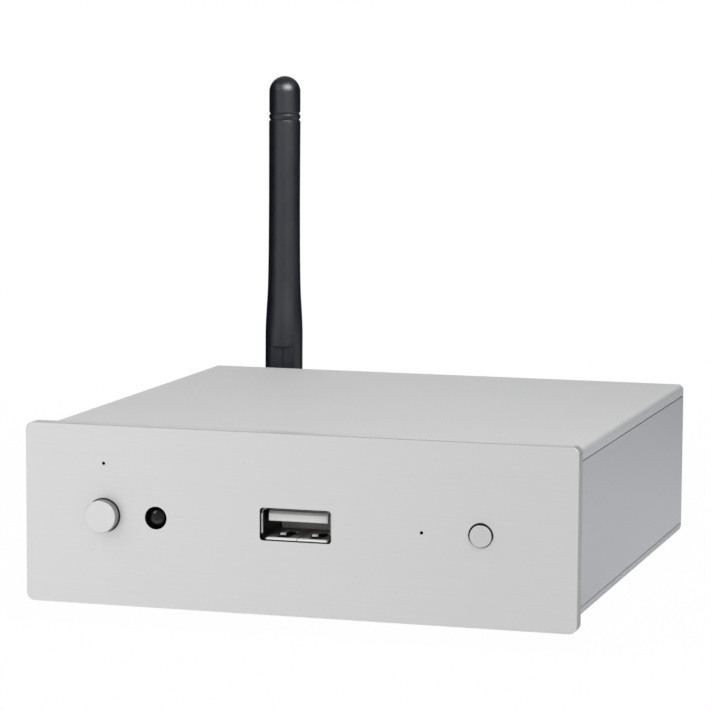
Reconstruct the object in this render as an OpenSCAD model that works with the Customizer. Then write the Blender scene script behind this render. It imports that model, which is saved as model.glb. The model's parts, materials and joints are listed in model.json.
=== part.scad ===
// A small network music streamer: an extruded case behind a thick front plate, two push buttons,
// a USB socket, sockets at the back and an aerial that swivels and tilts.
// X runs to the right as seen from the front, Y runs from front to back, Z runs up from the table.

/* [Front plate] */
// Width of the front plate
plate_w = 103; // [102:0.5:108]
// Height of the front plate
plate_h = 33; // [32:0.5:36]
// Thickness of the front plate
plate_t = 2.8; // [2.4:0.1:4]
// Corner radius of the front plate
plate_r = 1.5; // [1:0.1:4]
// Bevel round the front face
plate_bevel = 0.1; // [0.05:0.05:0.5]
// Depth of the blind holes for the studs
stud_hole_d = 1.8; // [1:0.1:2]

/* [Case] */
// Width of the case
case_w = 101; // [98:0.5:102]
// Height of the case without its feet
case_h = 30.6; // [30:0.2:32]
// Length of the case behind the front plate
case_d = 99.5; // [98:0.5:112]
// Thickness of the top and base covers
cover_t = 2.2; // [1.8:0.1:2.6]
// Radius along the top cover's long edges
top_r = 1.1; // [0.8:0.1:1.8]
// Radius along the base cover's long edges
base_r = 1.8; // [1:0.1:2.2]
// Depth of the groove along each seam
seam_v = 0.15; // [0.1:0.05:0.4]
// Thickness of the side walls
wall_t = 2; // [1.5:0.1:2.5]
// Thickness of the front bracket
bracket_t = 1.5; // [1.2:0.1:2]
// Thickness of the rear panel
rear_t = 1.2; // [1:0.1:2]
// How far the rear panel lies inside the case's end
rear_recess = 0.6; // [0.2:0.1:1.5]
// Outside radius of the screw channels
channel_r = 2.5; // [2.2:0.1:2.6]
// Radius of the holes in the screw channels
channel_hole_r = 1.3; // [1.1:0.05:1.4]

/* [Feet] */
// Height of the feet
foot_h = 5.2; // [3:0.2:8]
// Radius of the feet where they meet the base
foot_r = 5.5; // [4:0.5:7]
// Distance of the feet's middle from the case's sides
foot_in = 12.5; // [9:0.5:20]
// Place of the front feet behind the front face
foot_front_y = 26; // [15:1:32]
// Place of the rear feet in front of the rear panel
foot_rear_y = 16; // [10:1:30]

/* [Buttons and lights] */
// Place of the power button across the front
power_x = -36.4; // [-38:0.1:-34]
// Radius of the power button
power_r = 2.95; // [2.5:0.05:3.2]
// How far the power button stands out
power_proud = 2; // [1.2:0.1:3]
// Place of the source button across the front
source_x = 34.1; // [32:0.1:36]
// Radius of the source button
source_r = 2; // [1.7:0.05:2.4]
// How far the source button stands out
source_proud = 0.5; // [0.4:0.1:1.5]
// Gap round each button in the front plate
button_gap = 0.13; // [0.1:0.01:0.3]
// Place of the infrared window across the front
window_x = -26.4; // [-28:0.1:-24]
// Radius of the infrared window
window_r = 2.05; // [1.8:0.05:2.5]
// Radius of the pinholes in front of the lights
pinhole_r = 0.3; // [0.2:0.05:0.6]
// Distance of the power light below the top cover's inside
power_light_drop = 3.6; // [3:0.1:5]
// Place of the source light across the front
source_light_x = 23.3; // [20:0.1:26]

/* [USB socket] */
// Outside width of the USB shell
usb_w = 13.1; // [13:0.05:13.3]
// Outside height of the USB shell
usb_h = 5.7; // [5.6:0.05:5.8]
// Thickness of the USB shell's sheet
usb_sheet = 0.3; // [0.25:0.05:0.4]
// Gap between the USB shell and the front plate
usb_gap = 0.12; // [0.1:0.01:0.3]
// How far the USB shell's mouth lies behind the front face
usb_recess = 0.3; // [0:0.1:1]
// Length of the USB shell
usb_d = 14; // [12:0.5:18]

/* [Boards] */
// Thickness of the main board
board_t = 1.6; // [1.2:0.1:1.6]
// Height of the buttons' line above the main board
board_drop = 3.1; // [3:0.05:3.3]
// Width of the streaming module
module_w = 34; // [30:1:34]
// Length of the streaming module
module_d = 46; // [40:1:48]

/* [Rear sockets] */
// Place of the network socket across the back, as a share of half the case's width
lan_share = -0.416; // [-0.43:0.002:-0.4]
// Place of the optical output across the back, as a share of half the case's width
optical_share = -0.1; // [-0.12:0.002:-0.08]
// Place of the middle of the RCA pair across the back, as a share of half the case's width
rca_share = 0.317; // [0.307:0.002:0.327]
// Distance between the two RCA outputs
rca_pitch = 14; // [13:0.5:15]
// Radius of the RCA barrels
rca_r = 4.15; // [4:0.05:4.2]
// Length of the RCA barrels outside the rear panel
rca_l = 9; // [7:0.5:9.5]
// Distance of the power inlet from the right-hand wall's inside
inlet_in = 12; // [11:0.5:12.5]

/* [Aerial] */
// Distance of the aerial from the left-hand wall's inside
aerial_in = 8.1; // [8:0.1:9.5]
// Height of the aerial socket's axis above the main board
aerial_rise = 4.5; // [4.5:0.1:5]
// Length of the sleeve from its hinge to its tip
sleeve_l = 74.9; // [60:0.1:110]
// Radius of the sleeve below its flare
sleeve_low_r = 4.03; // [3.9:0.01:4.1]
// Radius of the sleeve above its flare
sleeve_top_r = 3.36; // [3:0.01:3.6]
// Height of the flare's lower end above the hinge
flare_low = 19; // [17.5:0.1:24]
// Length of the flare
flare_l = 30; // [20:0.5:36]
// Distance of the upper groove below the tip
groove_drop = 8.05; // [5:0.05:12]
// Distance between the two grooves
groove_pitch = 1.3; // [1.2:0.05:3]
// Height of the flats' upper end above the hinge
flat_top = 16.9; // [6:0.1:17]
// Depth of the flats
flat_d = 0.9; // [0.3:0.1:1]
// Turn of the flats about the sleeve's axis
flat_turn = 13; // [0:1:20]
// Width of the hinge's tongue
tongue_w = 2.6; // [2:0.1:3]
// Radius of the hinge pin
hinge_r = 0.9; // [0.7:0.05:1.1]

/* [Hidden] */
$fn = 64;

// Gap between pieces that slide along or past each other
fit = 0.15;
// Gap round a plain pin or shank in its hole
pin_fit = 0.03;

// Main planes
half_w = case_w / 2;
wall_in = half_w - wall_t;
base_z = foot_h;
top_z = base_z + case_h;
mid_z = base_z + case_h / 2;
low_seam_z = base_z + cover_t;
top_seam_z = top_z - cover_t;
case_y0 = plate_t;
case_y1 = plate_t + case_d;
bracket_y1 = case_y0 + bracket_t;
rear_y1 = case_y1 - rear_recess;
rear_y0 = rear_y1 - rear_t;

// Lips of the side walls, and the rails of the covers that hook under them
lip_w = 2.4;
lip_t = 1.2;
rail_t = 1.2;
rail_drop = lip_t + fit + rail_t;
rib_root = 0.5;
// The covers' edge radii, limited by their thickness
top_edge_r = min(top_r, cover_t - seam_v);
base_edge_r = min(base_r, cover_t - seam_v);

// Screw channels
channel_side = 2.5;
channel_x = wall_in - channel_side;
channel_in = rail_drop + fit + channel_r;
channel_top_z = top_seam_z - channel_in;
channel_low_z = low_seam_z + channel_in;
channel_web = 2;
slot_rib_w = 1.8;
slot_rib_t = 0.6;
slot_gap = 0.05;

// Main board, held in slots right over the lower screw channels, and the line of the buttons above it
board_gap = 1.2;
board_y0 = bracket_y1 + board_gap;
board_z0 = channel_low_z + channel_r + slot_rib_t + 2 * slot_gap;
board_z1 = board_z0 + board_t;
line_z = board_z1 + board_drop;

// Places of the feet and of what comes through the back
foot_x = half_w - foot_in;
lan_x = lan_share * half_w;
optical_x = optical_share * half_w;
rca_x = rca_share * half_w;
inlet_x = wall_in - inlet_in;
aerial_x = aerial_in - wall_in;

// Screws, studs and nuts
shank_r = channel_hole_r - pin_fit;
shank_l = 8;
sunk_head_r = 2.4;
pan_head_r = 2.2;
pan_head_h = 1.5;
socket_r = 1.05;
socket_d = 0.9;
stud_r = 1.25;
stud_x = 26;
stud_in = 3.7;
stud_dz = case_h / 2 - cover_t - stud_in;
nut_r = 2.85;
nut_h = 2;
stud_end = 0.8;

// Buttons and their switches
button_bevel = 0.08;
button_flange_t = 1;
button_flange_w = 1.1;
button_back = 0.1;
stem_r = 1.4;
key_gap = 4;
key_y0 = bracket_y1 + key_gap;
key_w = 6.2;
key_d = 3.6;
plunger_r = 1.7;
plunger_out = 1.8;
plunger_in = 0.8;
plunger_pocket = 1.8;

// Infrared window and receiver
window_dome = 1;
window_recess = 0.35;
window_flange_w = 0.8;
window_flange_t = 1;
receiver_w = 5.4;
receiver_h = 7;
receiver_d = 3.6;
receiver_gap = 1.1;
receiver_y0 = board_y0 + receiver_gap;
receiver_dome_r = 2;
receiver_dome_out = 1.4;

// Light guides and lights
guide_s = 2;
led_w = 2;
led_h = 0.8;
power_light_z = top_seam_z - power_light_drop;
power_leg_gap = 3;
power_leg_y = key_y0 + key_d + power_leg_gap;
source_leg_in = 2;
source_leg_y = key_y0 + source_leg_in;

// USB socket
usb_corner = 0.6;
usb_lip = 0.45;
usb_lip_t = 0.08;
usb_lip_clear = 0.02;
usb_lip_w = 11.2;
usb_lip_h = 3.7;
usb_seam = 0.2;
usb_y0 = usb_recess;
usb_y1 = usb_recess + usb_d;
usb_inner_h = usb_h - 2 * usb_sheet;
finger_x = 3;
finger_w = 1.1;
finger_slot = 0.55;
finger_in = 1.9;
finger_back = 8;
finger_y0 = usb_y0 + finger_in;
finger_y1 = usb_y0 + finger_back;
finger_rise = 0.8;
tongue_front = 1.4;
tongue_t = 1.84;
tongue_bottom = 0.35;
tongue_chamfer = 0.5;
tongue_under = 0.2;
usb_tongue_w = 11.1;
usb_block_d = 3;
usb_contact_w = 1;
usb_contact_t = 0.2;
usb_contact_l = 8;
usb_contact_places = [-3.5, -1, 1, 3.5];
usb_foot_w = 1.2;
usb_foot_d = 2;
usb_foot_back = 2;

// Streaming module
module_t = 1.2;
module_rise = 5;
module_in = 6.5;
module_x0 = module_in - wall_in;
module_back = 26;
module_z0 = board_z1 + module_rise;
module_z1 = module_z0 + module_t;
module_y1 = rear_y0 - module_back;
shield_w = 22;
shield_d = 26;
shield_h = 2.6;
shield_front = 6;
header_w = 2.5;
header_l = 26;
header_in = 1.5;

// Capacitors as [distance from the right-hand wall's inside, distance in front of the rear panel],
// and their size
capacitor_places = [[10.5, 34], [10.5, 44.5], [21, 34], [21, 44.5]];
capacitor_r = 4;
capacitor_h = 11.5;
capacitor_edge = 0.4;
capacitor_groove_z = 1.6;
capacitor_groove_d = 0.5;
// Chips as [share of half the case's width, distance in front of the rear panel, width, length, height]
chips = [
    [0.277, 26, 7, 7, 1],
    [0.198, 19, 5, 4, 1.6],
    [0.396, 19, 5, 4, 1.6],
    [0.713, 22, 6.6, 6.1, 2.3],
    [0.079, 62, 9, 9, 1],
    [0.356, 62, 5, 4, 1.6]
];
inductor = [0.673, 60, 7.3, 6.8, 4];

// Network socket
lan_w = 15.9;
lan_h = 12.8;
lan_d = 21.3;
lan_out = 0.5;
lan_mouth_w = 11.8;
lan_mouth_h = 6.8;
lan_mouth_z = 4.6;
lan_mouth_d = 14;
lan_key_w = 6;
lan_key_h = 1.8;
lan_pin_pitch = 1.02;
lan_pin_w = 0.45;
lan_pin_count = 8;
lan_pin_front = 2;
lan_pin_root = 1;
lan_pin_back = 9.2;
lan_pin_drop = 2.1;
lan_pin_t = 0.4;

// Optical output with its shutter
optical_w = 10.4;
optical_d = 13.5;
optical_out = 0.6;
optical_mouth = 8;
optical_floor = 0.9;
optical_frame = 2;
optical_cave_d = 10;
optical_head = 1.2;
optical_roof = 0.9;
shutter_t = 0.9;
shutter_w = 8.3;
shutter_pin_r = 0.4;
shutter_pin_l = 0.6;
optical_y1 = rear_y1 + optical_out;
optical_z0 = board_z1 + optical_floor;
optical_z1 = optical_z0 + optical_mouth;
shutter_y = optical_y1 - optical_frame - 0.1 - shutter_t / 2;
shutter_z = optical_z1 + 0.1 + shutter_t / 2;

// RCA outputs
rca_rise = 7;
rca_z = board_z1 + rca_rise;
rca_margin = 1.2;
rca_block_w = rca_pitch + 2 * (rca_r + rca_margin);
rca_block_h = rca_rise + rca_r + rca_margin;
rca_block_d = 13;
rca_root = 3;
rca_wall = 0.75;
rca_step = 0.25;
rca_bore_r = 1.65;
rca_clip_r = 2.1;
rca_clip_d = 1.5;
rca_insert_in = 1.4;
rca_panel_gap = 0.35;
rca_screw_rise = 3.4;
rca_screw_z = rca_z + rca_screw_rise;

// Power inlet
inlet_rise = 6.5;
inlet_z = board_z1 + inlet_rise;
inlet_w = 9;
inlet_h = 11;
inlet_d = 14;
inlet_nose_r = 4;
inlet_out = 0.5;
inlet_bore_r = 3.2;
inlet_bore_l = 9.5;
inlet_pin_r = 1.05;
inlet_pin_in = 0.8;
inlet_panel_gap = 0.2;

// Aerial socket and hinge
aerial_z = board_z1 + aerial_rise;
thread_r = 3.15;
thread_gap = 0.06;
socket_hex_r = 4.55;
socket_flange_t = 2;
socket_tail_r = 1.6;
socket_tail_l = 5;
washer_r = 4.2;
washer_t = 0.4;
socket_nut_t = 2;
coupling_y0 = rear_y1 + washer_t + socket_nut_t + 0.4;
coupling_l = 6.5;
coupling_r = 4.25;
coupling_back = 2;
coupling_y1 = coupling_y0 + coupling_l;
coupling_grips = 20;
coupling_grip_w = 0.5;
thread_end = coupling_y1 - coupling_back - 1.6;
neck_r = 2.5;
neck_flange_r = 3.05;
neck_flange_t = 1.2;
collar_y0 = coupling_y1 + 0.2;
collar_l = 3.5;
hinge_gap = 0.64;
hinge_y = collar_y0 + collar_l + sleeve_low_r + hinge_gap;
tongue_r = 3.2;
slot_fit = 0.15;
groove_w = 0.7;
groove_d = 0.26;
// The flare as [share of its length, share of the difference in radius that is left]
flare_shape = [
    [0, 1], [0.047, 0.97], [0.093, 0.9], [0.14, 0.795], [0.187, 0.666], [0.233, 0.543], [0.28, 0.413],
    [0.327, 0.313], [0.373, 0.254], [0.433, 0.194], [0.5, 0.139], [0.6, 0.082], [0.717, 0.052],
    [0.85, 0.022], [1, 0]
];
// How much wider the sleeve is at the grooves' lower edge than at its waist
sleeve_swell = 0.035;
mould_line_w = 0.35;
mould_line_d = 0.3;
hinge_pin_l = 7.2;

// Inner aerial lead: points as [distance from the aerial's axis, distance behind the rear panel's inside,
// share of the rise from the aerial's axis to the plug on the module]
lead_r = 0.6;
lead_sides = 8;
lead_plug_r = 1.5;
lead_plug_h = 2;
lead_end_rise = 1.2;
lead_end_z = module_z1 + lead_end_rise;
lead_route = [
    [0, -7, 0], [0, -9, 0], [0, -12, 0.04], [0.2, -15, 0.16], [0.5, -18, 0.35],
    [0.9, -21, 0.58], [1.4, -24, 0.81], [1.9, -27, 0.96], [2.2, -30, 1], [2.4, -32, 1], [2.4, -34, 1]
];

// The origin lies under the middle of the whole thing, from the power button's face to the aerial
origin_y = (hinge_y + sleeve_low_r - power_proud) / 2;

// Helpers that draw along Y, X or as a flat outline

// A flat outline in X and Z, drawn out from y0 to y1
module along_y(y0, y1) {
    translate([0, y1, 0]) rotate([90, 0, 0]) linear_extrude(height = y1 - y0) children();
}

// A flat outline in Y and Z, drawn out from x0 to x1
module along_x(x0, x1) {
    translate([x0, 0, 0]) rotate([90, 0, 90]) linear_extrude(height = x1 - x0) children();
}

// A round rod along Y
module rod_y(r, y0, y1) {
    translate([0, y0, 0]) rotate([-90, 0, 0]) cylinder(r = r, h = y1 - y0);
}

// A cone along Y
module cone_y(r0, r1, y0, y1) {
    translate([0, y0, 0]) rotate([-90, 0, 0]) cylinder(r1 = r0, r2 = r1, h = y1 - y0);
}

// A six-sided rod along Y with two flats upright, or level with no turn
module hex_y(r, y0, y1, turn = 30) {
    translate([0, y0, 0]) rotate([-90, turn, 0]) cylinder(r = r, h = y1 - y0, $fn = 6);
}

// A round rod along X
module rod_x(r, x0, x1) {
    translate([x0, 0, 0]) rotate([0, 90, 0]) cylinder(r = r, h = x1 - x0);
}

// A box given by its two corners
module box(low, high) {
    translate(low) cube(high - low);
}

// A rectangle with round corners about the middle
module round_rect(w, h, r) {
    square([w - 2 * r, h], center = true);
    square([w, h - 2 * r], center = true);
    for (sx = [-1, 1], sz = [-1, 1])
        translate([sx * (w / 2 - r), sz * (h / 2 - r)]) circle(r = r);
}

// The four screw places in X and Z
module at_channels() {
    for (sx = [-1, 1], z = [channel_low_z, channel_top_z])
        translate([sx * channel_x, 0, z]) children();
}

// The four stud places in X and Z
module at_studs() {
    for (sx = [-1, 1], sz = [-1, 1])
        translate([sx * stud_x, 0, mid_z + sz * stud_dz]) children();
}

// Moves the model from the front plate's plane to the frame's origin
module placed() {
    translate([0, -origin_y, 0]) children();
}

// Front plate, bracket and their fasteners

// A plate with round corners and a bevel round its front face, about the middle
module bevelled_plate(w, h, t, r, c) {
    along_y(c, t) round_rect(w, h, r);
    for (sx = [-1, 1], sz = [-1, 1])
        translate([sx * (w / 2 - r), 0, sz * (h / 2 - r)]) cone_y(r - c, r, 0, c);
    along_x(-(w / 2 - r), w / 2 - r)
        polygon([[0, c - h / 2], [0, h / 2 - c], [c, h / 2], [c, -h / 2]]);
    translate([0, 0, -(h / 2 - r)]) linear_extrude(height = h - 2 * r)
        polygon([[c - w / 2, 0], [w / 2 - c, 0], [w / 2, c], [-w / 2, c]]);
}

module front_plate() {
    color("gainsboro") difference() {
        translate([0, 0, mid_z]) bevelled_plate(plate_w, plate_h, plate_t, plate_r, plate_bevel);
        translate([0, 0, line_z]) {
            translate([power_x, 0, 0]) rod_y(power_r + button_gap, -1, plate_t + 1);
            translate([source_x, 0, 0]) rod_y(source_r + button_gap, -1, plate_t + 1);
            translate([window_x, 0, 0]) rod_y(window_r + pin_fit, -1, plate_t + 1);
            translate([power_x, 0, power_light_z - line_z]) rod_y(pinhole_r, -1, plate_t + 1);
            translate([source_light_x, 0, 0]) rod_y(pinhole_r, -1, plate_t + 1);
            along_y(-1, plate_t + 1) round_rect(usb_w + 2 * usb_gap, usb_h + 2 * usb_gap, usb_corner);
        }
        at_studs() rod_y(stud_r + pin_fit, plate_t - stud_hole_d, plate_t + 1);
    }
}

module front_bracket() {
    color("silver") difference() {
        translate([0, 0, mid_z]) along_y(case_y0, bracket_y1)
            square([2 * (wall_in - fit), case_h - 2 * cover_t - 2 * fit], center = true);
        at_channels() cone_y(sunk_head_r + pin_fit, shank_r + pin_fit, case_y0, bracket_y1);
        at_studs() rod_y(stud_r + pin_fit, case_y0 - 1, bracket_y1 + 1);
        translate([0, 0, line_z]) {
            translate([power_x, 0, 0])
                rod_y(power_r + button_flange_w + 2 * fit, case_y0 - 1, bracket_y1 + 1);
            translate([source_x, 0, 0])
                rod_y(source_r + button_flange_w + 2 * fit, case_y0 - 1, bracket_y1 + 1);
            translate([window_x, 0, 0])
                rod_y(window_r + window_flange_w + pin_fit, case_y0 - 1, bracket_y1 + 1);
            along_y(case_y0 - 1, bracket_y1 + 1)
                square([usb_w + 4 * fit, usb_h + 4 * fit], center = true);
            translate([power_x, 0, power_light_z - line_z]) along_y(case_y0 - 1, bracket_y1 + 1)
                square(guide_s + 2 * fit, center = true);
            translate([source_light_x, 0, 0]) along_y(case_y0 - 1, bracket_y1 + 1)
                square(guide_s + 2 * fit, center = true);
        }
    }
}

module bracket_screws() {
    color("dimgray") at_channels() {
        cone_y(sunk_head_r, shank_r, case_y0, bracket_y1);
        rod_y(shank_r, bracket_y1, bracket_y1 + shank_l);
    }
}

module plate_studs() {
    color("darkgray") at_studs()
        rod_y(stud_r, plate_t - stud_hole_d, bracket_y1 + nut_h + stud_end);
}

module plate_nuts() {
    color("dimgray") at_studs() difference() {
        hex_y(nut_r, bracket_y1, bracket_y1 + nut_h);
        rod_y(stud_r + pin_fit, bracket_y1 - 1, bracket_y1 + nut_h + 1);
    }
}

// Case: two covers hooked over two side walls, closed by a rear panel

// Outline of a cover's outer skin, with its seam face on zero
module cover_skin(edge_r) {
    difference() {
        intersection() {
            union() {
                translate([edge_r - half_w, 0]) square([case_w - 2 * edge_r, cover_t]);
                translate([-half_w, 0]) square([case_w, cover_t - edge_r]);
                for (sx = [-1, 1])
                    translate([sx * (half_w - edge_r), cover_t - edge_r]) circle(r = edge_r);
            }
            translate([-half_w, 0]) square([case_w, cover_t]);
        }
        for (sx = [-1, 1])
            polygon([[sx * (half_w - seam_v), 0], [sx * half_w, seam_v], [sx * half_w, 0]]);
    }
}

// Outline of a cover's two hooked rails, below its seam face
module cover_rails() {
    stem_x = wall_in - lip_w - fit - rail_t;
    for (sx = [0, 1]) mirror([sx, 0]) {
        translate([stem_x, -rail_drop]) square([rail_t, rail_drop + cover_t / 2]);
        translate([stem_x, -rail_drop]) square([rail_t + lip_w - fit, rail_t]);
    }
}

// A whole cover with its seam face on zero
module cover(edge_r) {
    along_y(case_y0, case_y1) cover_skin(edge_r);
    along_y(bracket_y1, rear_y0) cover_rails();
}

module top_cover() {
    color("lightgray") translate([0, 0, top_seam_z]) cover(top_edge_r);
}

module base_cover() {
    color("lightgray") translate([0, 0, low_seam_z]) mirror([0, 0, 1]) cover(base_edge_r);
}

// Outline of the right-hand wall's outer skin
module wall_skin() {
    polygon([
        [wall_in, low_seam_z], [half_w - seam_v, low_seam_z], [half_w, low_seam_z + seam_v],
        [half_w, top_seam_z - seam_v], [half_w - seam_v, top_seam_z], [wall_in, top_seam_z]
    ]);
}

// Outline of the right-hand wall's lips, screw channels and board slot
module wall_ribs() {
    difference() {
        union() {
            for (z = [low_seam_z, top_seam_z - lip_t])
                translate([wall_in - lip_w, z]) square([lip_w + rib_root, lip_t]);
            for (z = [channel_low_z, channel_top_z]) {
                translate([channel_x, z]) circle(r = channel_r);
                translate([channel_x, z - channel_web / 2])
                    square([wall_in + rib_root - channel_x, channel_web]);
            }
            for (z = [board_z0 - slot_gap - slot_rib_t, board_z1 + slot_gap])
                translate([wall_in - slot_rib_w, z]) square([slot_rib_w + rib_root, slot_rib_t]);
        }
        for (z = [channel_low_z, channel_top_z])
            translate([channel_x, z]) circle(r = channel_hole_r);
    }
}

module right_wall() {
    color("silver") {
        along_y(case_y0, case_y1) wall_skin();
        along_y(bracket_y1, rear_y0) wall_ribs();
    }
}

module left_wall() {
    color("silver") mirror([1, 0, 0]) {
        along_y(case_y0, case_y1) wall_skin();
        along_y(bracket_y1, rear_y0) wall_ribs();
    }
}

module rear_panel() {
    color("dimgray") difference() {
        translate([0, 0, mid_z]) along_y(rear_y0, rear_y1)
            square([2 * (wall_in - fit), case_h - 2 * cover_t - 2 * fit], center = true);
        at_channels() rod_y(shank_r + fit, rear_y0 - 1, rear_y1 + 1);
        box([lan_x - lan_w / 2 - fit, rear_y0 - 1, board_z1 - fit],
            [lan_x + lan_w / 2 + fit, rear_y1 + 1, board_z1 + lan_h + fit]);
        box([optical_x - optical_w / 2 - fit, rear_y0 - 1, board_z1 - fit],
            [optical_x + optical_w / 2 + fit, rear_y1 + 1, optical_z1 + optical_head + optical_roof + fit]);
        for (sx = [-1, 1]) translate([rca_x + sx * rca_pitch / 2, 0, rca_z])
            rod_y(rca_r + rca_panel_gap, rear_y0 - 1, rear_y1 + 1);
        translate([rca_x, 0, rca_screw_z]) rod_y(shank_r + fit, rear_y0 - 1, rear_y1 + 1);
        translate([inlet_x, 0, inlet_z]) rod_y(inlet_nose_r + inlet_panel_gap, rear_y0 - 1, rear_y1 + 1);
        translate([aerial_x, 0, aerial_z]) rod_y(thread_r + fit, rear_y0 - 1, rear_y1 + 1);
    }
}

// A pan-head screw with a six-sided socket, on the rear panel's outside
module pan_screw() {
    difference() {
        union() {
            rod_y(shank_r, rear_y1 - shank_l, rear_y1);
            rod_y(pan_head_r, rear_y1, rear_y1 + pan_head_h);
        }
        hex_y(socket_r, rear_y1 + pan_head_h - socket_d, rear_y1 + pan_head_h + 1);
    }
}

module rear_screws() {
    color("gray") at_channels() pan_screw();
}

// A rubber foot under the base, with a rounded lower edge
module foot(sx, y) {
    round_r = foot_r / 6;
    low_r = foot_r - 0.6;
    translate([sx * foot_x, y, 0]) rotate_extrude() {
        polygon([
            [0, 0], [low_r - round_r, 0], [low_r - round_r, round_r], [low_r, round_r],
            [foot_r, foot_h], [0, foot_h]
        ]);
        translate([low_r - round_r, round_r]) intersection() {
            circle(r = round_r);
            translate([0, -round_r]) square([round_r, round_r]);
        }
    }
}

module foot_front_left() { color("black") foot(-1, foot_front_y); }
module foot_front_right() { color("black") foot(1, foot_front_y); }
module foot_rear_left() { color("black") foot(-1, rear_y0 - foot_rear_y); }
module foot_rear_right() { color("black") foot(1, rear_y0 - foot_rear_y); }

// Buttons, switches, lights and infrared window

// A push button with a bevelled face, a flange behind the front plate and a stem
module push_button(x, r, proud) {
    flange_y0 = plate_t + button_back;
    translate([x, 0, line_z]) {
        cone_y(r - button_bevel, r, -proud, button_bevel - proud);
        rod_y(r, button_bevel - proud, flange_y0);
        rod_y(r + button_flange_w, flange_y0, flange_y0 + button_flange_t);
        rod_y(stem_r, flange_y0 + button_flange_t, key_y0 - plunger_out);
    }
}

// A key switch standing on the main board, with a round pocket for its plunger
module key_switch(x) {
    difference() {
        box([x - key_w / 2, key_y0, board_z1], [x + key_w / 2, key_y0 + key_d, line_z + board_drop]);
        translate([x, 0, line_z]) rod_y(plunger_r + 2 * pin_fit, key_y0 - 1, key_y0 + plunger_pocket);
    }
}

// The plunger of a key switch
module key_plunger(x) {
    translate([x, 0, line_z]) rod_y(plunger_r, key_y0 - plunger_out, key_y0 + plunger_in);
}

module power_button() { color("gainsboro") push_button(power_x, power_r, power_proud); }
module power_switch() { color("dimgray") key_switch(power_x); }
module power_plunger() { color("black") key_plunger(power_x); }
module source_button() { color("gainsboro") push_button(source_x, source_r, source_proud); }
module source_switch() { color("dimgray") key_switch(source_x); }
module source_plunger() { color("black") key_plunger(source_x); }

module infrared_window() {
    ball_r = (window_r * window_r + window_dome * window_dome) / (2 * window_dome);
    color("black") translate([window_x, 0, line_z]) {
        intersection() {
            rod_y(window_r, window_recess, plate_t);
            translate([0, window_recess + ball_r, 0]) sphere(r = ball_r);
        }
        rod_y(window_r + window_flange_w, plate_t, plate_t + window_flange_t);
    }
}

module infrared_receiver() {
    color("darkslategray") {
        box([window_x - receiver_w / 2, receiver_y0, board_z1],
            [window_x + receiver_w / 2, receiver_y0 + receiver_d, board_z1 + receiver_h]);
        translate([window_x, receiver_y0 + receiver_dome_r - receiver_dome_out, line_z])
            sphere(r = receiver_dome_r);
    }
}

// A square-section light guide from a light on the main board up and forward to a pinhole
module light_guide(x, z, leg_y) {
    s = guide_s / 2;
    along_x(x - s, x + s) polygon([
        [plate_t, z - s], [leg_y - s, z - s], [leg_y - s, board_z1 + led_h], [leg_y + s, board_z1 + led_h],
        [leg_y + s, z], [leg_y, z + s], [plate_t, z + s]
    ]);
}

module power_light_guide() { color("white") light_guide(power_x, power_light_z, power_leg_y); }
module source_light_guide() { color("white") light_guide(source_light_x, line_z, source_leg_y); }

module indicator_lights() {
    color("white") for (p = [[power_x, power_leg_y], [source_light_x, source_leg_y]])
        translate([p[0], p[1], board_z1 + led_h / 2]) cube([led_w, led_w, led_h], center = true);
}

// USB socket

// One flared lip of the USB mouth, along X on the shell's lower wall
module usb_lip_strip(w, wall_z) {
    flare = usb_gap - usb_lip_clear;
    along_x(-w / 2, w / 2) polygon([
        [usb_y0, wall_z - flare], [usb_y0, wall_z - flare + usb_lip_t],
        [usb_y0 + usb_lip, wall_z + usb_sheet], [usb_y0 + usb_lip + 0.1, wall_z + usb_sheet],
        [usb_y0 + usb_lip + 0.1, wall_z], [usb_y0 + usb_lip, wall_z]
    ]);
}

// A spring finger that rises from the lower wall towards the mouth
module usb_finger() {
    floor_z = usb_sheet - usb_h / 2;
    along_x(-finger_w / 2, finger_w / 2) polygon([
        [finger_y1 + 0.2, floor_z], [finger_y0 + 0.8, floor_z + finger_rise],
        [finger_y0 + 0.3, floor_z + finger_rise], [finger_y0, floor_z + finger_rise / 2],
        [finger_y0 + 0.25, floor_z + finger_rise / 2 - 0.15],
        [finger_y0 + 0.45, floor_z + finger_rise - usb_sheet],
        [finger_y0 + 0.8, floor_z + finger_rise - usb_sheet],
        [finger_y1 + 0.2, floor_z - usb_sheet]
    ]);
}

module usb_shell() {
    inner_w = usb_w - 2 * usb_sheet;
    slot_w = finger_w + 2 * finger_slot;
    color("silver") translate([0, 0, line_z]) {
        difference() {
            along_y(usb_y0 + usb_lip, usb_y1) difference() {
                round_rect(usb_w, usb_h, usb_corner);
                round_rect(inner_w, usb_inner_h, usb_corner - usb_sheet);
            }
            for (sx = [-1, 1])
                translate([sx * finger_x, 0, 0])
                    box([-slot_w / 2, finger_y0 - 0.3, -usb_h], [slot_w / 2, finger_y1, 0]);
            box([-usb_seam / 2, usb_y0 - 1, -usb_h], [usb_seam / 2, usb_y1 + 1, 0]);
        }
        for (sx = [-1, 1]) translate([sx * finger_x, 0, 0]) usb_finger();
        difference() {
            usb_lip_strip(usb_lip_w, -usb_h / 2);
            box([-usb_seam / 2, usb_y0 - 1, -usb_h], [usb_seam / 2, usb_y1 + 1, 0]);
        }
        mirror([0, 0, 1]) usb_lip_strip(usb_lip_w, -usb_h / 2);
        for (turn = [90, -90]) rotate([0, turn, 0]) usb_lip_strip(usb_lip_h, -usb_w / 2);
        for (sx = [-1, 1]) translate([sx * (usb_w / 2 - usb_foot_w), usb_y1 - usb_foot_back, 0])
            box([-usb_foot_w / 2, -usb_foot_d, board_z1 - line_z],
                [usb_foot_w / 2, 0, usb_sheet / 2 - usb_h / 2]);
    }
}

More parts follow.
